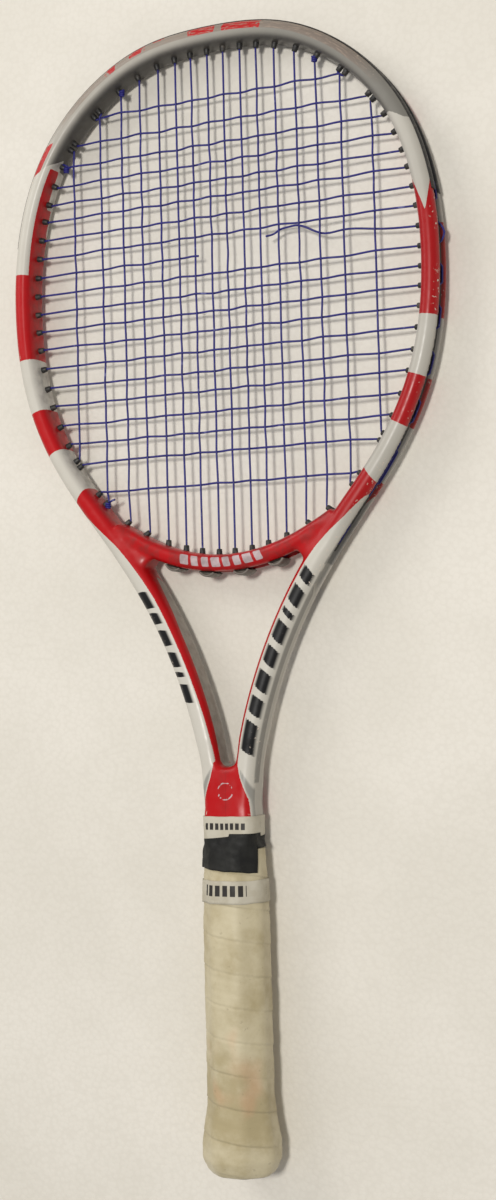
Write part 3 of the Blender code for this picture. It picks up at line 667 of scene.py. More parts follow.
def paint_layout(points, hoop, bridge):
    """Values for the paint material at each point of the frame's skin."""
    p = SurfacePlaces(points, hoop, bridge)
    shield, patches = neck_shield(p), tip_patches(p)
    red = patches
    for part in (hoop_red(p), shaft_red(p), bridge_red(p), shield):
        red = np.maximum(red, part)
    return {
        "red": red,
        "grey": np.minimum(tip_grey(p), -patches),
        "dark": dark_bars(p),
        "pale": pale_marks(p),
        "silver": soft_silver(p, shield),
        "wear": blend(np.abs(p.turn - 40.0), 34.0, 8.0),
        "run": p.side,
        "turn": p.turn,
    }


# ---- Materials -------------------------------------------------------------------------


def colour(red, green, blue):
    """Linear colour of an everyday 0-255 one."""
    values = [channel / 255 for channel in (red, green, blue)]
    linear = [v / 12.92 if v <= 0.04045 else ((v + 0.055) / 1.055) ** 2.4 for v in values]
    return (*linear, 1.0)


class Graph:
    """A new Principled material and short ways to add nodes to it."""

    def __init__(self, name):
        self.material = bpy.data.materials.new(name)
        self.material.use_nodes = True
        self.tree = self.material.node_tree
        self.shader = self.tree.nodes["Principled BSDF"]

    def add(self, kind, **inputs):
        node = self.tree.nodes.new(kind)
        for key, value in inputs.items():
            self.feed(node.inputs[key.replace("_", " ")], value)
        return node

    def feed(self, socket, value):
        if isinstance(value, bpy.types.NodeSocket):
            self.tree.links.new(value, socket)
        else:
            socket.default_value = value

    def attribute(self, name):
        node = self.tree.nodes.new("ShaderNodeAttribute")
        node.attribute_name = name
        return node.outputs["Fac"]

    def place(self):
        """Position in metres in the racket's own frame."""
        return self.tree.nodes.new("ShaderNodeTexCoord").outputs["Object"]

    def stretched(self, x, y, z):
        node = self.add("ShaderNodeMapping", Vector=self.place())
        node.inputs["Scale"].default_value = (x, y, z)
        return node.outputs["Vector"]

    def join(self, x, y, z):
        return self.add("ShaderNodeCombineXYZ", X=x, Y=y, Z=z).outputs["Vector"]

    def calculate(self, operation, first, second=0.0):
        node = self.tree.nodes.new("ShaderNodeMath")
        node.operation = operation
        self.feed(node.inputs[0], first)
        self.feed(node.inputs[1], second)
        return node.outputs[0]

    def plus(self, first, second):
        return self.calculate("ADD", first, second)

    def minus(self, first, second):
        return self.calculate("SUBTRACT", first, second)

    def times(self, first, second):
        return self.calculate("MULTIPLY", first, second)

    def absolute(self, value):
        return self.calculate("ABSOLUTE", value)

    def noise(self, scale, detail=3.0, vector=None, roughness=0.55):
        node = self.add("ShaderNodeTexNoise", Scale=scale, Detail=detail, Roughness=roughness)
        self.tree.links.new(vector or self.place(), node.inputs["Vector"])
        return node.outputs["Fac"]

    def cells(self, scale, vector=None):
        node = self.add("ShaderNodeTexVoronoi", Scale=scale)
        self.tree.links.new(vector or self.place(), node.inputs["Vector"])
        return node.outputs["Distance"]

    def ramp(self, value, low, high, start=0.0, end=1.0):
        """Smooth step from start to end as the value goes from low to high."""
        node = self.tree.nodes.new("ShaderNodeMapRange")
        node.interpolation_type = "SMOOTHSTEP"
        self.feed(node.inputs["Value"], value)
        for key, number in (("From Min", low), ("From Max", high), ("To Min", start), ("To Max", end)):
            node.inputs[key].default_value = number
        return node.outputs["Result"]

    def mix(self, share, first, second):
        node = self.tree.nodes.new("ShaderNodeMix")
        node.data_type = "RGBA"
        self.feed(node.inputs["Factor"], share)
        self.feed(node.inputs[6], first)
        self.feed(node.inputs[7], second)
        return node.outputs[2]

    def bump(self, height, strength, distance):
        node = self.add("ShaderNodeBump", Height=height, Strength=strength, Distance=distance)
        self.tree.links.new(node.outputs["Normal"], self.shader.inputs["Normal"])

    def finish(self, **inputs):
        for key, value in inputs.items():
            self.feed(self.shader.inputs[key.replace("_", " ")], value)
        return self.material


def fresh_paint(g, inside):
    """White, silver, grey and red areas with the plain marks on them, and painted shade on the tip's
    grey.
    """
    turn, run = g.attribute("turn"), g.attribute("run")
    crisp = 0.0
    sheen = g.noise(38.0, 2.0)
    white = g.mix(sheen, colour(194, 189, 178), colour(210, 206, 196))
    silver = g.mix(sheen, colour(138, 136, 130), colour(162, 160, 153))
    paint = g.mix(inside("silver", 0.8, crisp), white, silver)
    grey = g.mix(g.noise(55.0, 3.0), colour(164, 160, 151), colour(186, 181, 171))
    # Painted shade: the tip's grey is lighter on the left and darker towards the right, as the light
    # falls on it.
    grey = g.mix(g.ramp(run, -50.0, 70.0, 0.0, 0.75), grey, colour(116, 114, 108))
    # Painted shade, partly dirt: the tip's inner walls are darkened almost to black.
    walls = g.ramp(turn, 112.0, 150.0)
    grey = g.mix(g.times(walls, 0.88), grey, colour(50, 49, 46))
    paint = g.mix(inside("grey", 0.2, crisp), paint, grey)
    red = g.mix(g.noise(30.0, 2.0), colour(172, 6, 13), colour(188, 11, 18))
    paint = g.mix(inside("red"), paint, red)
    paint = g.mix(inside("dark", 0.15, crisp), paint, colour(20, 20, 21))
    return g.mix(inside("pale", 0.15, crisp), paint, colour(196, 176, 178))


def chipped_paint(g, paint):
    """Chips along the outer edge show the pale primer."""
    chips = g.ramp(g.noise(520.0, 2.0), 0.64, 0.68)
    patches = g.ramp(g.noise(32.0, 1.0), 0.47, 0.6)
    chipped = g.times(g.times(chips, patches), g.attribute("wear"))
    return g.mix(chipped, paint, colour(222, 206, 190))


def scraped_paint(g, paint, inside):
    """The tip's outer half is dulled, and scraped through in streaks; also gives the streaks."""
    turn, run = g.attribute("turn"), g.attribute("run")
    streaks = g.noise(1.0, 4.0, g.join(g.times(run, 0.16), g.times(turn, 0.11), 0.0))
    exposed = g.times(g.ramp(g.absolute(run), 128.0, 92.0), g.ramp(turn, 98.0, 90.0))
    unpainted = g.minus(1.0, inside("red"))
    paint = g.mix(g.times(g.times(exposed, unpainted), 0.6), paint, colour(128, 110, 98))
    scraped = g.times(g.ramp(streaks, 0.5, 0.62), exposed)
    return g.mix(g.times(scraped, 0.7), paint, colour(158, 142, 128)), scraped


def soiled_and_shaded_paint(g, paint, inside):
    """Dirt and painted shade on the inner walls, painted shade on the shafts' inner walls and on the
    outer walls, and a light painted shade over the right of the hoop.
    """
    turn, run = g.attribute("turn"), g.attribute("run")
    # Dirt and painted shade: blotchy darkening of the inner walls all round the frame.
    wall_dirt_and_shade = g.times(g.ramp(turn, 118.0, 165.0), g.ramp(g.noise(160.0, 4.0), 0.35, 0.7))
    paint = g.mix(g.times(wall_dirt_and_shade, 0.42), paint, colour(60, 52, 46))
    # Painted shade: the shafts' inner walls, where they are not red, are darkened to a brown grey.
    shaft_wall_shade = g.times(g.ramp(turn, 118.0, 138.0), g.ramp(g.absolute(run), 404.0, 430.0))
    shaft_wall_shade = g.times(shaft_wall_shade, g.minus(1.0, inside("red")))
    paint = g.mix(g.times(shaft_wall_shade, 0.62), paint, colour(104, 90, 78))
    # Painted shade: the outer walls are darkened, more strongly round the head than along the shafts.
    outer_wall = g.ramp(turn, 40.0, 14.0)
    outer_wall_shade_amount = g.ramp(g.absolute(run), 380.0, 420.0, 0.58, 0.3)
    paint = g.mix(g.times(outer_wall, outer_wall_shade_amount), paint, colour(74, 62, 54))
    # Painted shade: the right side of the hoop is dimmed a little towards black.
    right_side_shade = g.times(g.ramp(run, 60.0, 200.0), g.ramp(run, 420.0, 380.0, 0.0, 0.2))
    return g.mix(right_side_shade, paint, colour(24, 20, 18))


def painted_frame():
    """Gloss paint in white, red and grey, scuffed at the tip and chipped along the edges, with painted
    shade on its walls, on the right of the tip's grey and on the right of the hoop.
    """
    g = Graph("painted_frame")
    ragged = g.times(g.minus(g.noise(1400.0, 2.0), 0.5), 0.7)

    def inside(name, softness=0.14, edge=ragged):
        return g.ramp(g.plus(g.attribute(name), edge), -softness, softness)

    paint = chipped_paint(g, fresh_paint(g, inside))
    paint, scraped = scraped_paint(g, paint, inside)
    # Dirt, and painted shade on the walls and over the hoop's right side.
    paint = soiled_and_shaded_paint(g, paint, inside)
    roughness = g.plus(g.ramp(g.noise(240.0, 4.0), 0.3, 0.75, 0.30, 0.44), g.times(scraped, 0.3))
    scratches = g.noise(900.0, 3.0, g.stretched(1.0, 0.25, 1.0))
    g.bump(g.minus(scratches, g.times(scraped, 2.0)), 0.12, 0.0002)
    return g.finish(Base_Color=paint, Roughness=roughness, Specular_IOR_Level=0.28,
                    Coat_Weight=0.1, Coat_Roughness=0.25)


def nylon(name, shade, worn_shade):
    """Moulded nylon, rubbed paler where it stands proud."""
    g = Graph(name)
    worn = g.ramp(g.noise(210.0, 4.0), 0.5, 0.75)
    base = g.mix(g.times(worn, 0.7), shade, worn_shade)
    g.bump(g.noise(1800.0, 3.0), 0.25, 0.0002)
    roughness = g.ramp(g.noise(500.0, 3.0), 0.3, 0.7, 0.42, 0.62)
    return g.finish(Base_Color=base, Roughness=roughness)


def string_material():
    """Dark blue monofilament, frayed pale in places where strings have rubbed."""
    g = Graph("string_filament")
    base = g.mix(g.noise(90.0, 2.0), colour(18, 16, 92), colour(40, 38, 132))
    rubbed = g.ramp(g.noise(140.0, 3.0), 0.64, 0.74)
    base = g.mix(g.times(rubbed, 0.55), base, colour(132, 136, 190))
    g.bump(g.noise(2600.0, 2.0), 0.2, 0.0001)
    roughness = g.ramp(g.noise(300.0, 2.0), 0.3, 0.7, 0.4, 0.6)
    return g.finish(Base_Color=base, Roughness=roughness)


def grip_material():
    """Soiled, slightly tacky overgrip tape with fine pores and darker seams."""
    g = Graph("overgrip_tape")
    clean, yellowed = colour(202, 191, 160), colour(172, 158, 121)
    stains = g.noise(26.0, 5.0, roughness=0.62)
    base = g.mix(g.ramp(stains, 0.36, 0.66), clean, yellowed)
    blush = g.ramp(g.noise(22.0, 2.0, g.stretched(1.3, 0.8, 1.3)), 0.63, 0.74)
    base = g.mix(g.times(blush, 0.32), base, colour(214, 160, 124))
    seam = g.times(g.attribute("seam"), g.ramp(g.noise(30.0, 2.0), 0.42, 0.62, 0.03, 0.42))
    base = g.mix(seam, base, colour(120, 108, 82))
    speck = g.ramp(g.noise(260.0, 3.0), 0.66, 0.74)
    base = g.mix(g.times(speck, 0.25), base, colour(120, 104, 78))
    pores = g.cells(1500.0)
    creases = g.noise(150.0, 4.0, g.stretched(0.5, 1.6, 0.5))
    g.bump(g.plus(g.times(pores, 0.5), creases), 0.35, 0.0004)
    roughness = g.ramp(stains, 0.3, 0.7, 0.52, 0.74)
    return g.finish(Base_Color=base, Roughness=roughness, Sheen_Weight=0.12)


def printed_blocks(g, period, low, high):
    """Share of dark ink: a row of plain blocks, between two shares of the tape's width."""
    around, share = g.attribute("around"), g.attribute("share")
    wave = g.calculate("SINE", g.times(around, 2 * math.pi / period))
    blocks = g.times(g.ramp(wave, -0.55, -0.35), g.ramp(share, low, low + 0.03))
    blocks = g.times(blocks, g.ramp(share, high, high - 0.03))
    ends = g.times(g.ramp(around, 48.0, 49.0), g.ramp(around, 132.0, 131.0))
    return g.times(blocks, ends)


def tape_material(name, shade, second, gloss, print_row=None):
    """Thin plastic tape with small wrinkles and dust; print_row is its blocks' period and band."""
    g = Graph(name)
    base = g.mix(g.ramp(g.noise(70.0, 4.0), 0.35, 0.7), shade, second)
    if print_row:
        base = g.mix(printed_blocks(g, *print_row), base, colour(48, 45, 42))
    g.bump(g.noise(130.0, 4.0, g.stretched(1.0, 2.2, 1.0)), 0.35, 0.0006)
    roughness = g.ramp(g.noise(180.0, 3.0), 0.3, 0.7, gloss, gloss + 0.22)
    return g.finish(Base_Color=base, Roughness=roughness, Specular_IOR_Level=0.3)


def board_material():
    """Pale pressed foam board, with a very fine pebbled surface."""
    g = Graph("pale_board")
    beads = g.cells(330.0)
    base = g.mix(g.ramp(g.noise(9.0, 3.0), 0.3, 0.7), colour(222, 217, 206), colour(230, 225, 215))
    base = g.mix(g.ramp(beads, 0.35, 0.75, 0.0, 0.16), base, colour(206, 200, 188))
    g.bump(g.plus(g.times(beads, -0.6), g.noise(160.0, 3.0)), 0.2, 0.001)
    return g.finish(Base_Color=base, Roughness=0.62)


# ---- Grommets and bumper ---------------------------------------------------------------


def strip_section(half_width, centre):
    inner = half_width - GROOVE_DEPTH + CLEARANCE
    outer = inner + STRIP_THICKNESS
    high = GROOVE_HALF_HEIGHT - CLEARANCE
    return [
        (inner, high), (outer - 0.25, high), (outer, high - 0.25),
        (outer, 0.25 - high), (outer - 0.25, -high), (inner, -high),
    ]


def bumper_section(half_width, centre):
    """Strip in the groove with a lip each side that lies over the frame's edge."""
    inner = half_width - GROOVE_DEPTH + CLEARANCE
    high = GROOVE_HALF_HEIGHT - CLEARANCE
    upper = [
        (inner, high), (half_width, 3.65), (half_width + 0.3, 3.8),
        (half_width, 5.6), (half_width - 0.5, 7.4), (half_width - 0.25, 7.6),
        (half_width + 0.1, 7.2), (half_width + 0.5, 5.8), (half_width + 0.7, 4.2),
        (half_width + 0.6, 3.3), (half_width + 0.3, 2.8), (inner + STRIP_THICKNESS, 2.65),
    ]
    lower = [(out, -up) for out, up in reversed(upper)]
    return upper + lower


def add_barrel(bm, hole):
    """Tapered stud round the string, bored through, from the groove to its mouth."""
    length = float(np.linalg.norm(hole.mouth - hole.floor))
    profile = [
        (-0.9, 0.80), (-0.9, 1.35), (-0.6, 1.62), (1.6, 1.82), (3.2, 1.95),
        (length, 1.95), (length, 0.80),
    ]
    add_turned(bm, hole.mouth + hole.outward * 0.4, hole.outward, profile)


def make_strip(name, path, first, last, section, holes, material, node):
    bm = bmesh.new()
    distances = np.linspace(first, last, max(12, int((last - first) / 3.5)))
    add_loft(bm, path.rings(distances, section))
    for hole in holes:
        if first < hole.distance < last:
            add_barrel(bm, hole)
    return make_piece(name, bm, [material], stands_for=(node,))


def make_bumps(bridge, material):
    """Half-round rubber bumps under the bridge, each with a sunk oval on its face."""
    bm = bmesh.new()
    reach = (BRIDGE_HALF_WIDTH + 0.6 - (BRIDGE_HALF_WIDTH - BUMP_SINK)) / BUMP_RADIUS
    half_angle = math.acos(reach)
    for k in range(BUMP_COUNT):
        x = (k - (BUMP_COUNT - 1) / 2) * BUMP_SPACING
        distance = np.interp(x, bridge.stations[:, 0], bridge.distances)
        centre, outward, half_width = bridge.at(distance)
        along = np.array([-outward[1], outward[0]])
        axis = centre + outward * (half_width - BUMP_SINK)
        rings = []
        lower = [(-up, shrink) for up, shrink in reversed(BUMP_PROFILE)]
        for up, shrink in lower + BUMP_PROFILE:
            ring = []
            for n in range(25):
                angle = half_angle * (n / 12 - 1)
                arm = outward * math.cos(angle) + along * math.sin(angle)
                spot = axis + arm * (BUMP_RADIUS - shrink)
                ring.append((spot[0], spot[1], up))
            rings.append(ring)
        add_loft(bm, rings)
    return make_piece("throat_bumps", bm, [material],
                      stands_for=("grommet_strip_throat",))


# ---- Strings ---------------------------------------------------------------------------


def loop_points(first, second, side, slack=0.0):
    """String's way along the groove from one hole to the next."""
    path = first.path
    direction = 1 if second.distance > first.distance else -1
    start = first.distance + 1.2 * direction
    end = second.distance - 1.2 * direction
    pieces = max(2, math.ceil(abs(end - start) / 3))
    points = [(*first.outside(), 0.0)]
    for n in range(pieces + 1):
        distance = start + (end - start) * n / pieces
        lift = CHANNEL_LIFT + slack * math.sin(math.pi * n / pieces)
        points.append((*path.point(distance, lift), side * LOOP_SHIFT))
    points.append((*second.outside(), 0.0))
    return points


def column_of(x):
    """Number of a main string, counted from the left."""
    place = MAIN_OFFSETS.index(abs(x))
    return len(MAIN_OFFSETS) + place if x > 0 else len(MAIN_OFFSETS) - 1 - place


def sign_at(column, index):
    """1 where the cross string passes over the main, -1 where it passes under."""
    return 1 if (column + index) % 2 == 0 else -1


def eased(points, per_step=4):
    """Points between the given ones, each run easing in and out of its height."""
    result = []
    for a, b in zip(points, points[1:]):
        a, b = np.array(a), np.array(b)
        for n in range(per_step):
            share = n / per_step
            spot = a + (b - a) * share
            spot[2] = a[2] + (b[2] - a[2]) * (1 - math.cos(math.pi * share)) / 2
            result.append(tuple(spot))
    result.append(tuple(points[-1]))
    return result


def main_points(tops, bottoms):
    """One length that runs down and up through every main hole, left to right."""
    columns = [(-x, t.mirrored(), b.mirrored()) for x, t, b in zip(MAIN_OFFSETS, tops, bottoms)]
    columns.reverse()
    columns += list(zip(MAIN_OFFSETS, tops, bottoms))
    points = []
    previous = None
    for k, (x, top, bottom) in enumerate(columns):
        entry, leave = (top, bottom) if k % 2 == 0 else (bottom, top)
        points += loop_points(previous, entry, 1) if previous else [(*entry.outside(), 0.0)]
        crossed = []
        for index, y in enumerate(CROSS_HEIGHTS):
            if bottom.mouth[1] + 2 < y < top.mouth[1] - 2:
                sway = 0.35 * wobble(0.9 * index, k + 1)
                crossed.append((x + sway, y, -MAIN_WAVE * sign_at(k, index)))
        if k % 2:
            crossed.reverse()
        run = [(*entry.in_bed(), 0.0)] + crossed + [(*leave.in_bed(), 0.0)]
        points += eased(run)
        previous = leave
    points.append((*previous.outside(), 0.0))
    return points


def crossing_points(index, hole, tops, bottoms):
    """Points over and under the mains that a cross string meets, from left to right."""
    y = CROSS_HEIGHTS[index]
    points = []
    for x in [-x for x in reversed(MAIN_OFFSETS)] + MAIN_OFFSETS:
        place = MAIN_OFFSETS.index(abs(x))
        top, bottom = tops[place], bottoms[place]
        if bottom.mouth[1] + 2 < y < top.mouth[1] - 2 and abs(x) < hole.mouth[0] - 2:
            sway = 0.4 * wobble(0.8 * column_of(x), index + 30)
            points.append((x, y + sway, CROSS_WAVE * sign_at(column_of(x), index)))
    return points


def loose_end(across):
    """Right-hand part of the snapped cross: slack, still woven, its tip curled down."""
    kept = [point for point in across if point[0] > MAIN_OFFSETS[3] - 1]
    rises = [9.2, 9.7, 4.2, 3.3, 1.5]
    slack = []
    for n, (x, y, z) in enumerate(kept):
        slack.append((x, y + (rises[n] if n < len(rises) else 0.0), z))
    tip_x, tip_y, tip_z = slack[0]
    between = ((slack[0][0] + slack[1][0]) / 2 - 1, slack[1][1] + 0.1, 0.0)
    tip = [(tip_x - 7.6, tip_y - 3.4, 1.5), (tip_x - 3.6, tip_y - 1.6, 1.5 * tip_z)]
    return tip + [slack[0], between] + slack[1:]


def cross_points(tops, bottoms, crosses):
    """Upper and lower lengths of the cross string, parted where one cross has snapped."""
    upper, lower = [], []
    for index, hole in enumerate(crosses):
        across = [(*hole.mirrored().in_bed(), 0.0)]
        across += crossing_points(index, hole, tops, bottoms)
        across.append((*hole.in_bed(), 0.0))
        if index % 2:
            across.reverse()
        end_hole = hole if index % 2 == 0 else hole.mirrored()
        start_hole = hole.mirrored() if index % 2 == 0 else hole
        target = upper if index < BROKEN_CROSS else lower
        if index == BROKEN_CROSS:
            stub = [point for point in across if point[0] < -MAIN_OFFSETS[1] + 1]
            last = stub[-1]
            upper += eased(stub + [(last[0] + 2.6, last[1] - 0.2, last[2] * 0.7)])
            target += [tuple(p) for p in smooth_curve(loose_end(across), 5)]
        else:
            target += eased(across) if target else [(*start_hole.outside(), 0.0)] + eased(across)
        if index + 1 < len(crosses):
            following = crosses[index + 1]
            if index % 2:
                following = following.mirrored()
            slack = LOOP_SLACK if index == BROKEN_CROSS else 0.0
            target += loop_points(end_hole, following, -1, slack)
        else:
            target.append((*end_hole.outside(), 0.0))
    return upper, lower


def make_string(name, points, material, node):
    bm = bmesh.new()
    add_tube(bm, points, STRING_RADIUS, 8)
    return make_piece(name, bm, [material], stands_for=(node,))


def make_knots(material):
    """Tied-off ends: a tight wrapped knot with a short tail beside each tie hole."""
    spots = [(-64.3, 656.0, 200.0), (-105.0, 613.6, 150.0), (-80.4, 399.6, 20.0), (65.0, 655.4, 240.0)]
    bm = bmesh.new()
    for k, (x, y, tail_angle) in enumerate(spots):
        wraps = []
        for n in range(46):
            angle = 2 * math.pi * n / 15
            reach = 1.25 + 0.15 * wobble(n * 0.5, k + 3)
            wraps.append((x + reach * math.cos(angle), y - 1.8 + 3.6 * n / 45,
                          reach * math.sin(angle) + 0.3))
        heading = math.radians(tail_angle)
        for n in range(1, 8):
            last = wraps[-1]
            wraps.append((last[0] + 0.6 * math.cos(heading), last[1] + 0.6 * math.sin(heading),
                          last[2] + 0.12 * (4 - n)))
        add_tube(bm, wraps, STRING_RADIUS, 8)
    return make_piece("string_knots", bm, [material])


# ---- Handle ----------------------------------------------------------------------------


def half_sizes(table, y, depth=0.0):
    """Half width and half thickness that a table of sections gives, less a depth."""
    heights, widths, thicknesses = zip(*table)
    return np.interp(y, heights, widths) - depth, np.interp(y, heights, thicknesses) - depth


def octagon_reach(angle, softness=9.0):
    """Distance from the middle to a softened unit octagon, at an angle in radians."""
    total = 0.0
    for shift in (-1.0, -0.5, 0.0, 0.5, 1.0):
        turned = (math.degrees(angle) + shift * softness + 22.5) % 45.0 - 22.5
        total += 1 / math.cos(math.radians(turned))
    return total / 5


def handle_point(y, angle, depth):
    """Point at a depth under the handle's surface, seen at an angle round its axis."""
    half_width, half_height = half_sizes(HANDLE_SURFACE, y, depth)
    reach = octagon_reach(angle)
    return Vector((half_width * reach * math.cos(angle), y, half_height * reach * math.sin(angle)))


WRAP_PITCH = 19.5               # rise of the overgrip tape in one turn


def wrap_phase(y, angle):
    """Place across the tape, from 0 at its lower edge to 1 where the next turn covers it."""
    return (y / WRAP_PITCH + 0.13 - angle / (2 * math.pi)) % 1.0


def make_overgrip(material):
    """Spiral-wound tape: each turn's edge stands over the one below, with soft wrinkles."""
    bm = bmesh.new()
    around, seams, rings = 112, [], []
    heights = list(np.arange(0.9, OVERGRIP_TOP, 0.75)) + [OVERGRIP_TOP]
    for y in heights:
        ring = []
        for n in range(around):
            angle = 2 * math.pi * n / around
            phase = wrap_phase(y, angle)
            step = 0.42 * math.exp(-phase * 3.2) - 0.25 * math.exp(-((1 - phase) / 0.05) ** 2)
            dent = 0.22 * wobble(y * 0.09 + 2 * math.cos(angle), 5) + 0.12 * wobble(y * 0.31 - angle, 8)
            rounding = 1.9 * blend(y, 11.0, 0.5)
            ring.append(handle_point(y, angle, max(0.3, 0.55 - step - dent) + rounding))
            seams.append(max(0.0, 1 - min(phase, 1 - phase) / 0.035))
        rings.append(ring)
    folded = []
    for y, depth in ((0.35, 2.6), (0.2, 3.1), (0.5, 3.6), (2.0, 3.6)):
        folded.append([handle_point(y, 2 * math.pi * n / around, depth) for n in range(around)])
    inner = []
    for y in (12.0, 60.0, 150.0, OVERGRIP_TOP):
        inner.append([handle_point(y, 2 * math.pi * n / around, 2.7) for n in range(around)])
    add_loft(bm, list(reversed(folded)) + rings + list(reversed(inner)), closed=True)
    grip = make_piece("overgrip_wrap", bm, [material],
                      stands_for=("overgrip", "base_grip"))
    lead = len(folded) * around
    values = [0.0] * lead + seams + [0.0] * (len(inner) * around)
    add_attribute(grip.data, "seam", values)
    return grip


def make_sleeve(name, low, high, surface, thickness, material, node, rows=10, around=120):
    """Thin band round the handle; low and high give its edges at each angle."""
    bm = bmesh.new()
    outer, inner = [], []
    for row in range(rows + 1):
        share = row / rows
        out_ring, in_ring = [], []
        for n in range(around):
            angle = 2 * math.pi * n / around
            y = low(angle) + (high(angle) - low(angle)) * share
            crease = 0.10 * wobble(y * 0.5 + 3 * math.cos(angle), len(name))
            crease += 0.05 * wobble(angle * 9, 2)
            out_ring.append(surface(y, angle, crease + thickness))
            in_ring.append(surface(y, angle, -0.1))
        outer.append(out_ring)
        inner.append(in_ring)
    add_loft(bm, outer + list(reversed(inner)), closed=True)
    sleeve = make_piece(name, bm, [material], stands_for=(node,))
    shares = [row / rows for row in range(rows + 1)]
    shares += list(reversed(shares))
    add_attribute(sleeve.data, "share", np.repeat(shares, around))
    add_attribute(sleeve.data, "around", np.tile(np.arange(around) * 360 / around, len(shares)))
    return sleeve


def on_grip(y, angle, lift):
    return handle_point(y, angle, -0.25 - lift)


def neck_surface(y, angle, lift):
    """Point over the neck and the top of the grip, where the black tape bridges the step."""
    half_width, half_height = half_sizes(NECK_RINGS, y, -0.35 - lift)
    neck = Vector(squarish_point(y, angle, half_width, half_height))
    share = float(blend(y, OVERGRIP_TOP - 1.0, OVERGRIP_TOP + 6.5))
    grip = handle_point(min(y, 192.0), angle, -0.25 - lift)
    grip.y = y
    return grip.lerp(neck, share)


def make_tapes(white, wide_print, black):
    """Printed band low on the grip, black tape over the grip's end, white tape above it."""
    make_sleeve("grip_band", lambda a: 158.6 + 0.3 * wobble(a * 2, 1),
                lambda a: 172.0 + 0.25 * wobble(a * 2, 4), on_grip, 0.12, wide_print,
                "tape_band_lower")

    def black_low(angle):
        plain = 177.6 - 1.6 * math.cos(angle) + 0.3 * wobble(angle * 3, 6)
        turned = (angle + math.pi) % (2 * math.pi) - math.pi
        cut_away = float(blend(turned, math.radians(26), math.radians(23)))
        return plain + (190.6 - plain) * cut_away * float(blend(turned, -1.6, -1.5))

    def black_high(angle):
        front = 0.0 < angle < math.pi
        if front and math.cos(angle) < 0.12:
            return 195.6 + 1.8 * (math.cos(angle) + 1)
        if front:
            return 199.2
        return 197.4 + 0.4 * wobble(angle * 2, 9)

    make_sleeve("black_tape", black_low, black_high, neck_surface, 0.45, black,
                "black_tape_wrap", rows=18, around=160)
    make_sleeve("top_tape", lambda a: 192.5 + 0.2 * wobble(a * 3, 2),
                lambda a: 209.3 + 0.15 * wobble(a * 3, 7), neck_surface, 0.2, white,
                "finishing_tape_upper", rows=12)


# ---- Stage, light and camera -----------------------------------------------------------


def make_stage(material):
    """Pale board tilted to touch the handle's flare and the head's tip."""
    flare, tip = (15.0, -20.5), (679.0, -11.3)
    slope = (tip[1] - flare[1]) / (tip[0] - flare[0])
    bm = bmesh.new()
    corners = []
    for x, y in ((-1500, -1500), (1500, -1500), (1500, 2200), (-1500, 2200)):
        corners.append(bm.verts.new((x, y, flare[1] - 0.1 + slope * (y - flare[0]))))
    bm.faces.new(corners)
    mesh = bpy.data.meshes.new("board")
    bm.to_mesh(mesh)
    bm.free()
    mesh.transform(Matrix.Scale(MM, 4))
    mesh.materials.append(material)
    board = bpy.data.objects.new("board", mesh)
    bpy.context.scene.collection.objects.link(board)


def add_area_light(name, place, target, size, power, shade):
    light = bpy.data.lights.new(name, "AREA")
    light.shape = "DISK"
    light.size = size
    light.energy = power
    light.color = shade
    lamp = bpy.data.objects.new(name, light)
    lamp.location = place
    lamp.rotation_euler = (Vector(target) - Vector(place)).to_track_quat("-Z", "Y").to_euler()
    bpy.context.scene.collection.objects.link(lamp)


def make_lights():
    middle = (0.0, 0.35, 0.0)
    add_area_light("key_light", (0.26, 0.52, 2.4), middle, 0.36, 33.0, (1.0, 0.975, 0.93))
    add_area_light("soft_light", (-1.3, 1.5, 1.2), middle, 1.2, 12.0, (1.0, 0.98, 0.95))
    world = bpy.data.worlds.new("soft_room")
    world.use_nodes = True
    background = world.node_tree.nodes["Background"]
    background.inputs["Color"].default_value = (1.0, 0.99, 0.98, 1.0)
    background.inputs["Strength"].default_value = 0.36
    bpy.context.scene.world = world


def make_camera():
    """Stands over the handle's right side, looking a little to the left and down."""
    data = bpy.data.cameras.new("camera")
    data.lens = 52.01
    data.sensor_width = 36.0
    camera = bpy.data.objects.new("camera", data)
    right = Vector((0.9110, -0.0259, -0.4115))
    up = Vector((0.0444, 0.9984, 0.0354))
    back = Vector((0.4099, -0.0505, 0.9107))
    turn = Matrix((right, up, back)).transposed().to_4x4()
    camera.matrix_world = Matrix.Translation((0.4358, 0.2846, 0.9399)) @ turn
    bpy.context.scene.collection.objects.link(camera)
    bpy.context.scene.camera = camera


# ---- Assembly --------------------------------------------------------------------------


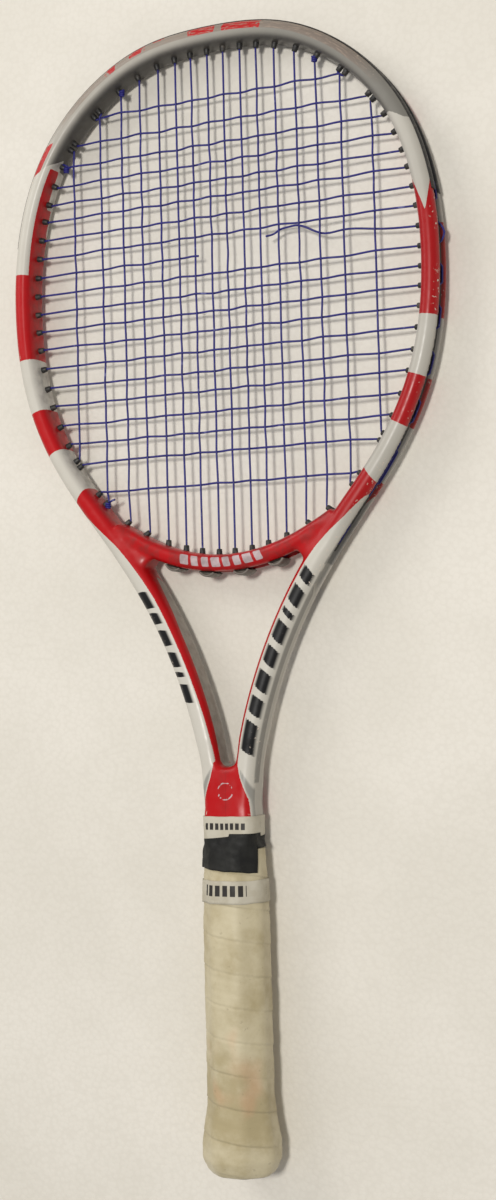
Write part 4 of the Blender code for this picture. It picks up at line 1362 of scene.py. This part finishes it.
def make_strips(hoop, bridge, holes):
    """Bumper round the tip, a strip down each side, and the bridge's strip with its bumps."""
    black_nylon = nylon("black_nylon_moulding", colour(34, 33, 32), colour(96, 90, 82))
    grey_rubber = nylon("grey_rubber_moulding", colour(112, 105, 97), colour(148, 139, 128))
    on_hoop = [hole for hole in holes if hole.path is hoop]
    on_bridge = [hole for hole in holes if hole.path is bridge]
    right_half = np.linspace(hoop.length / 2, hoop.length, 2000)
    bumper_end = min(right_half, key=lambda d: abs(hoop.at(d)[0][1] - BUMPER_END_Y))
    strip_end = max(hole.distance for hole in on_hoop) + 5.0
    make_strip("bumper", hoop, hoop.length - bumper_end, bumper_end, bumper_section,
               on_hoop, black_nylon, "bumper_guard")
    make_strip("grommets_right", hoop, bumper_end + 1.0, strip_end, strip_section,
               on_hoop, black_nylon, "grommet_strip_right")
    make_strip("grommets_left", hoop, hoop.length - strip_end, hoop.length - bumper_end - 1.0,
               strip_section, on_hoop, black_nylon, "grommet_strip_left")
    reach = max(hole.distance for hole in on_bridge) + 3.2
    make_strip("grommets_throat", bridge, bridge.length - reach, reach, strip_section,
               on_bridge, black_nylon, "grommet_strip_throat")
    make_bumps(bridge, grey_rubber)


def make_strings(tops, bottoms, crosses):
    filament = string_material()
    upper, lower = cross_points(tops, bottoms, crosses)
    make_string("strings_main", main_points(tops, bottoms), filament, "main_string")
    make_string("strings_cross_upper", upper, filament, "cross_string_upper")
    make_string("strings_cross_lower", lower, filament, "cross_string_lower")
    make_knots(filament)


def make_wrappings():
    clean, soiled = colour(196, 190, 174), colour(176, 168, 148)
    make_overgrip(grip_material())
    make_tapes(tape_material("white_tape_film", clean, soiled, 0.5, (10.5, 0.52, 0.78)),
               tape_material("white_band_film", clean, soiled, 0.5, (14.0, 0.32, 0.82)),
               tape_material("black_tape_film", colour(16, 16, 15), colour(36, 36, 33), 0.5))


def dress_cad_nodes():
    """Better materials on the CAD nodes that stay as they are."""
    dress = {
        "handle_pallet": nylon("pallet_foam_skin", colour(60, 58, 55), colour(84, 80, 74)),
        "butt_cap": nylon("cap_moulding", colour(30, 30, 30), colour(62, 60, 57)),
        "trap_door": nylon("door_moulding", colour(150, 26, 30), colour(120, 60, 56)),
    }
    for node, material in dress.items():
        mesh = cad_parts[node].data
        mesh.materials.clear()
        mesh.materials.append(material)


def main():
    make_camera()
    make_lights()
    make_stage(board_material())
    bpy.context.scene.view_settings.view_transform = "Standard"

    hoop, bridge = hoop_path(), bridge_path()
    tops, bottoms, crosses = hole_layout(hoop, bridge)
    right = tops + bottoms + crosses
    make_frame(hoop, bridge, painted_frame())
    make_strips(hoop, bridge, right + [hole.mirrored() for hole in right])
    make_strings(tops, bottoms, crosses)
    make_wrappings()
    dress_cad_nodes()


main()
